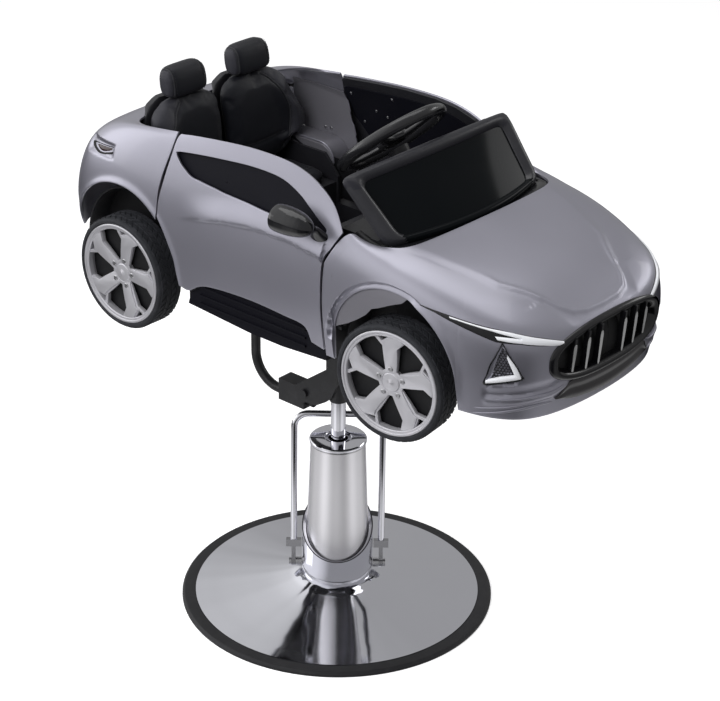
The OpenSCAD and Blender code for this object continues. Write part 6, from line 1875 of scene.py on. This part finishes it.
def makeFlaps():
    s = flap
    lower = resampled(s["lower"], 60)
    aim = np.arctan2(lower[:, 1] - s["centre"][1], lower[:, 0] - s["centre"][0])
    upper = np.array(s["centre"]) + s["radius"] * np.stack([np.cos(aim), np.sin(aim)], -1)
    grid = rowsBetween(upper, lower, 8)
    for side, mark in sides:
        part = sheetOf(*(sidePlaces(grid, lift, side) for lift in s["lifts"]))
        put(mark + "ArchFiller", part, "quarter", "body_silver", degrees=40)
    print("arch fillers made")


makeFlaps()


# Seat shell, quarter trims and door panels
shellForm = {"low": 791.2, "high": 999.6, "inset": 5.5, "strap": 7, "strapTop": 925,
             "stepZ": 850, "stepY": (4, 145),
             "backX": [(790, -346.3), (943, -346.3), (954, -339.8), (976, -339.8), (986, -350.8),
                       (1000, -350.8)]}


def makeSeatShell():
    s = shellForm
    backX = np.array(s["backX"])
    q0, q1 = squared(circle(40), 0.25)
    parts = []
    for side in (-1, 1):
        rings = []
        for z in np.linspace(s["low"], s["high"], 60):
            k = min(max((z - back["low"]) / (back["high"] - back["low"]), 0), 1)
            inner, outer = (share * back["unit"] for share in readOff(back["rings"], k)[:2])
            if z < s["stepZ"]:
                inner, outer = s["stepY"]
            inner, outer = inner + s["inset"] * 0.4, outer - s["inset"]
            front, rear = backFaceX(z) - 0.6, np.interp(z, backX[:, 0], backX[:, 1])
            rings.append(np.stack([(front + rear) / 2 + q1 * (front - rear) / 2,
                                   side * ((inner + outer) / 2 + q0 * (outer - inner) / 2),
                                   np.full(40, z)], -1))
        parts.append(loftOf(np.array(rings)))
    strap = []
    for z in np.linspace(s["low"] + 1, s["strapTop"], 12):
        front, rear = backFaceX(z) - 2.5, np.interp(z, backX[:, 0], backX[:, 1]) + 2
        strap.append([(front, -s["strap"], z), (front, s["strap"], z), (rear, s["strap"], z),
                      (rear, -s["strap"], z)])
    parts.append(loftOf(np.array(strap)))
    put("seatShell", merged(parts), "plastic", "plastic_black", "seat_shell", degrees=40)


quarterTrim = {
    "rear": -329, "top": 958, "wallDepth": 15.5, "wallMost": 226, "wallLow": 747, "ledge": 855.5,
    "fallFrom": -214, "fallTo": -178, "fallLow": 820, "innerY": 177.6, "thick": 2.2,
    "frontTop": -190, "frontLean": 0.33, "frontFrom": 846, "notch": 2.6, "notchTall": 24, "notchLow": 850,
    "archR": 141.5, "bolts": [(-241, 869), (-225, 870)],
    # Ledge across and then down: share and drop, and the cover's shares of its height
    "across": ((0.0, 0.0), (0.5, 0.3), (0.86, 0.5), (0.95, 1.2), (1.0, 4.0)), "down": (0.25, 0.5, 0.75, 1.0),
}


def quarterWall(x, z):
    # Inner face of the grey wall, behind the body's skin
    wall = surfacePlace(*sideShares(x, z), -quarterTrim["wallDepth"], 1)
    wall[..., 1] = np.minimum(wall[..., 1], quarterTrim["wallMost"])
    return wall


archWall = {"inner": 181, "thick": 2, "radius": 126, "low": 706, "steps": 60,
            "cabinShadePlate": [(-215, 752), (-122, 752), (-122, 822), (-132, 832), (-215, 832)]}


def makeArchWalls():
    # Black wall inside each rear wheel arch, over the axle, and a plate in the cabin under the quarter ledge,
    # both in the darkest black: painted shade; the plate is a dark sheet set where the cabin shows only shade
    s = archWall
    cx, cz, _ = rearArch
    start = math.asin((s["low"] - cz) / s["radius"])
    turn = np.linspace(start, math.pi - start, s["steps"])
    outline = np.column_stack([cx + s["radius"] * np.cos(turn), cz + s["radius"] * np.sin(turn)])
    parts = []
    for shape in (outline, np.array(s["cabinShadePlate"], float)):
        points, faces = plateOf(shape, s["inner"], s["inner"] + s["thick"])
        points = points[:, [0, 2, 1]]
        parts += [(points, faces), (points * mirrorY, faces)]
    put("rearArchWalls", merged(parts), "dark", "plastic_black", degrees=40)


def quarterSheet():
    # The grey wall, notched at its front; below the ledge it stops at the wheel arch
    s = quarterTrim
    z = np.concatenate([np.linspace(s["top"], s["ledge"] + 4, 22),
                        np.linspace(s["ledge"] - 2, s["wallLow"], 14)])
    notch = s["notch"] * ((np.floor((z - s["frontFrom"]) / s["notchTall"]) % 2) - 0.5) * (z > s["notchLow"])
    front = s["frontTop"] + (s["top"] - np.maximum(z, s["frontFrom"])) * s["frontLean"] + notch
    arch = rearArch[0] + np.sqrt(np.maximum(0, s["archR"] ** 2 - (z - rearArch[1]) ** 2))
    rear = np.where(z < s["ledge"], np.maximum(arch, s["rear"]), s["rear"])
    x = rear[:, None] + (front - rear)[:, None] * np.linspace(0, 1, 40)[None, :]
    return quarterWall(x, np.repeat(z[:, None], 40, 1))


def quarterLedge():
    # Ledge and lower cover: one bent strip that runs back from its rounded front corner, and its bead
    s = quarterTrim
    fall = s["fallTo"] - s["fallFrom"]
    x = np.concatenate([np.linspace(s["rear"], s["fallFrom"], 24)[:-1],
                        s["fallFrom"] + fall * np.sin(np.linspace(0, np.pi / 2, 14))])
    bend = 1 - np.sqrt(np.maximum(0, 1 - (np.maximum(x - s["fallFrom"], 0) / fall) ** 2))
    high = s["ledge"] - (s["ledge"] - s["fallLow"]) * bend
    inner = np.full(len(x), s["innerY"])
    outer = quarterWall(x, s["ledge"])[:, 1] - 0.5
    rows = [np.stack([x, outer + (inner - outer) * share, high - down], -1) for share, down in s["across"]]
    rows += [np.stack([x, inner, (high - 4) * (1 - share) + s["wallLow"] * share], -1) for share in s["down"]]
    face = np.stack(rows)
    slope = np.zeros_like(face)
    slope[:4, :, 2] = -s["thick"]
    slope[3:, :, 1] = s["thick"]
    return sheetOf(face, face + slope), np.stack([x, inner + 2.2, high + 0.2], -1)


def makeQuarterTrims():
    s = quarterTrim
    wall = quarterSheet()
    ledge, bead = quarterLedge()
    points, faces = merged([sheetOf(wall, wall + np.array([0, s["thick"], 0])), ledge])
    edge = wall[:22, -1] - np.array([0, 0.2, 0])
    beads, beadFaces = merged([tubeOf(edge, 1.1, 8), tubeOf(bead, 2.0, 10)])
    places = quarterWall(*np.array(s["bolts"], float).T)
    for side, mark in sides:
        way = np.array([1, side, 1])
        trim = put(mark + "QuarterTrim", (points * way, faces), "quarter", "body_silver", degrees=40)
        if side < 0:
            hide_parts("quarter_trims")
        # the beads take the body's lighter lacquer, not the trim's: a painted highlight along the ledge and
        # the wall's front edge
        put(mark + "QuarterEdge", (beads * way, beadFaces), "body", "body_silver", degrees=60)
        bolts = spotsOf(mark + "QuarterBolts", places * way, (0, -side, 0), (0, 0, 1), (1, 1, 1),
                        screwHead(3.4, 1.6), "bolt")
        settle(bolts, "chair", "chrome")
    print("quarter trims made")


doorPanel = {"loops": (0.30, 0.12), "centre": (-66.0, 935.0), "shares": (0.97, 0.85, 0.6, 0.3, 0.02),
             "lifts": (-9.2, -11.4), "screwLift": -11.2, "screwR": 3.0,
             "screws": [(-173, 958), (-62, 974), (-112, 934), (-84, 928), (18, 936), (60, 905), (-150, 900)]}


def makeDoorPanels():
    # Black panel that closes each door's window, and the screws of the inner panel
    s = doorPanel
    loops = [scaled(doorOutline, windowEdge, t) for t in s["loops"]]
    loops = np.stack(loops + [scaled(windowEdge, np.array(s["centre"]), k) for k in s["shares"]])
    points, faces = sheetOf(*(sidePlaces(loops, lift) for lift in s["lifts"]), ring=True)
    u, v = sideShares(*np.array(s["screws"], float).T)
    places, aims = surfacePlace(u, v, s["screwLift"]), -facing(u, v) * mirrorY
    for mark, way in (("right", 1), ("left", -1)):
        side, door = np.array([1, way, 1]), mark + "_door"
        put(mark + "WindowPanel", (points * side, faces), "panel", "gloss_black", body=door, degrees=50)
        screws = spotsOf(mark + "DoorScrews", places * side, aims * side, (0, 0, 1), (1, 1, 1),
                         screwHead(s["screwR"], 1.4), "bolt")
        settle(screws, door, "chrome")
    print("door panels made")


makeSeatShell()
makeArchWalls()
makeQuarterTrims()
makeDoorPanels()


# Finishes of the plain parts
plainParts = {
    "chrome": ["pump_cylinder", "rear_axle"],
    "clamp": ["lever_clamps"],
    "bolt": ["lever_pivots", "piston_head", "gland_bush"],
    "steel": ["rod_socket", "cradle_cheeks", "cradle_brace", "brace_clamp", "chassis_rail", "front_axle_beam",
              "right_knuckle", "left_knuckle", "steering_column", "hinge_posts", "right_door_hinge",
              "left_door_hinge"],
    "plastic": ["chassis_tub", "arch_liners", "right_door_liner", "left_door_liner"],
    "trim": ["dashboard", "horn_button"],
    "panel": ["side_skirts"],
}
for finish, names in plainParts.items():
    for name in names:
        for slot in nodes[name].material_slots:
            slot.material = finishes[finish]
print("plain parts dressed")


# Stage
def makeStage():
    s = studio
    size = s["backdropSize"]
    mesh = bpy.data.meshes.new("studioFloor")
    mesh.from_pydata([(-size, -size, 0), (size, -size, 0), (size, size, 0), (-size, size, 0)], [],
                     [(0, 1, 2, 3)])
    floor = bpy.data.objects.new("studioFloor", mesh)
    bpy.context.scene.collection.objects.link(floor)
    material = bpy.data.materials.new("studioFloor")
    material.use_nodes = True
    material.node_tree.nodes.clear()
    board = Board(material.node_tree)
    place = board.add("ShaderNodeTexCoord", out=3)
    seen, mirrored = (board.add("ShaderNodeLightPath", out=k) for k in ("Is Camera Ray", "Is Glossy Ray"))
    # What polished metal sees of the floor is streaked, as a studio with dark flags would be
    angle = board.turnOf(place)
    broad, fine = (board.sine(angle * count + turn) * deep for count, turn, deep in s["streaks"])
    # Close to the foot the mirrored floor is light, further off it is dark
    reach = board.add("ShaderNodeVectorMath", {"operation": "LENGTH"}, {0: place}, out=1)
    share = board.smooth(reach, s["nearReach"], s["farReach"], s["nearShare"], s["farShare"])
    dull = s["floorDull"]
    level = seen * (1 - dull) + dull + mirrored * ((broad + fine) * s["streakDeep"] + share - dull)
    paper = board.add("ShaderNodeBsdfDiffuse", None, {
        "Color": board.blend(level, (0, 0, 0), s["floorColor"])})
    white = board.add("ShaderNodeEmission", None, {
        "Color": (1, 1, 1, 1), "Strength": level * s["floorGlow"] + seen * s["paperGlow"]})
    both = board.add("ShaderNodeAddShader", None, {0: paper, 1: white})
    board.add("ShaderNodeOutputMaterial", None, {"Surface": both})
    floor.data.materials.append(material)


def makeWorld():
    s = studio
    world = bpy.data.worlds.new("studioWorld")
    world.use_nodes = True
    bpy.context.scene.world = world
    world.node_tree.nodes.clear()
    board = Board(world.node_tree)
    camera, glossy, through = (board.add("ShaderNodeLightPath", out=k)
                               for k in ("Is Camera Ray", "Is Glossy Ray", "Is Transmission Ray"))
    level = board.add("ShaderNodeMath", {"operation": "MINIMUM"}, {0: camera + through, 1: 1.0})
    sky = board.add("ShaderNodeVectorMath", {"operation": "DOT_PRODUCT"}, {
        0: board.add("ShaderNodeTexCoord"), 1: s["mirrorAim"]}, out=1)
    rise = board.smooth(sky, s["mirrorFrom"], s["mirrorTo"], s["mirrorLow"], s["mirrorHigh"])
    plain = s["worldGrey"] + level * (1.0 - s["worldGrey"])
    strength = plain * (1.0 - glossy) + rise * glossy
    light = board.add("ShaderNodeBackground", None, {"Color": (1, 1, 1, 1), "Strength": strength})
    board.add("ShaderNodeOutputWorld", None, {"Surface": light})


lamps = [  # name, place, size, watts, aimed at
    ("keyLamp", (-0.1, -3.1, 3.0), (4.2, 2.4), 135, (0.1, 0, 0.7)),
    ("fillLamp", (-3.0, -1.8, 1.6), (1.8, 1.8), 14, (0, 0, 0.6)),
    ("topLamp", (-0.4, 0.6, 3.4), (2.6, 1.6), 20, (0.1, 0, 0.6)),
    ("rimLamp", (1.2, 3.0, 2.2), (1.6, 0.8), 10, (0.2, 0, 0.8)),
]


def hangLamps():
    for name, place, size, watts, target in lamps:
        data = bpy.data.lights.new(name, "AREA")
        data.shape = "RECTANGLE"
        data.size, data.size_y = size
        data.energy = watts
        lamp = bpy.data.objects.new(name, data)
        lamp.location = place
        lamp.visible_glossy = name != "keyLamp"
        lamp.rotation_euler = (Vector(target) - Vector(place)).to_track_quat("-Z", "Y").to_euler()
        bpy.context.scene.collection.objects.link(lamp)


aimCamera()
makeStage()
makeWorld()
hangLamps()
bpy.context.scene.view_settings.view_transform = "Standard"
print("stage ready")
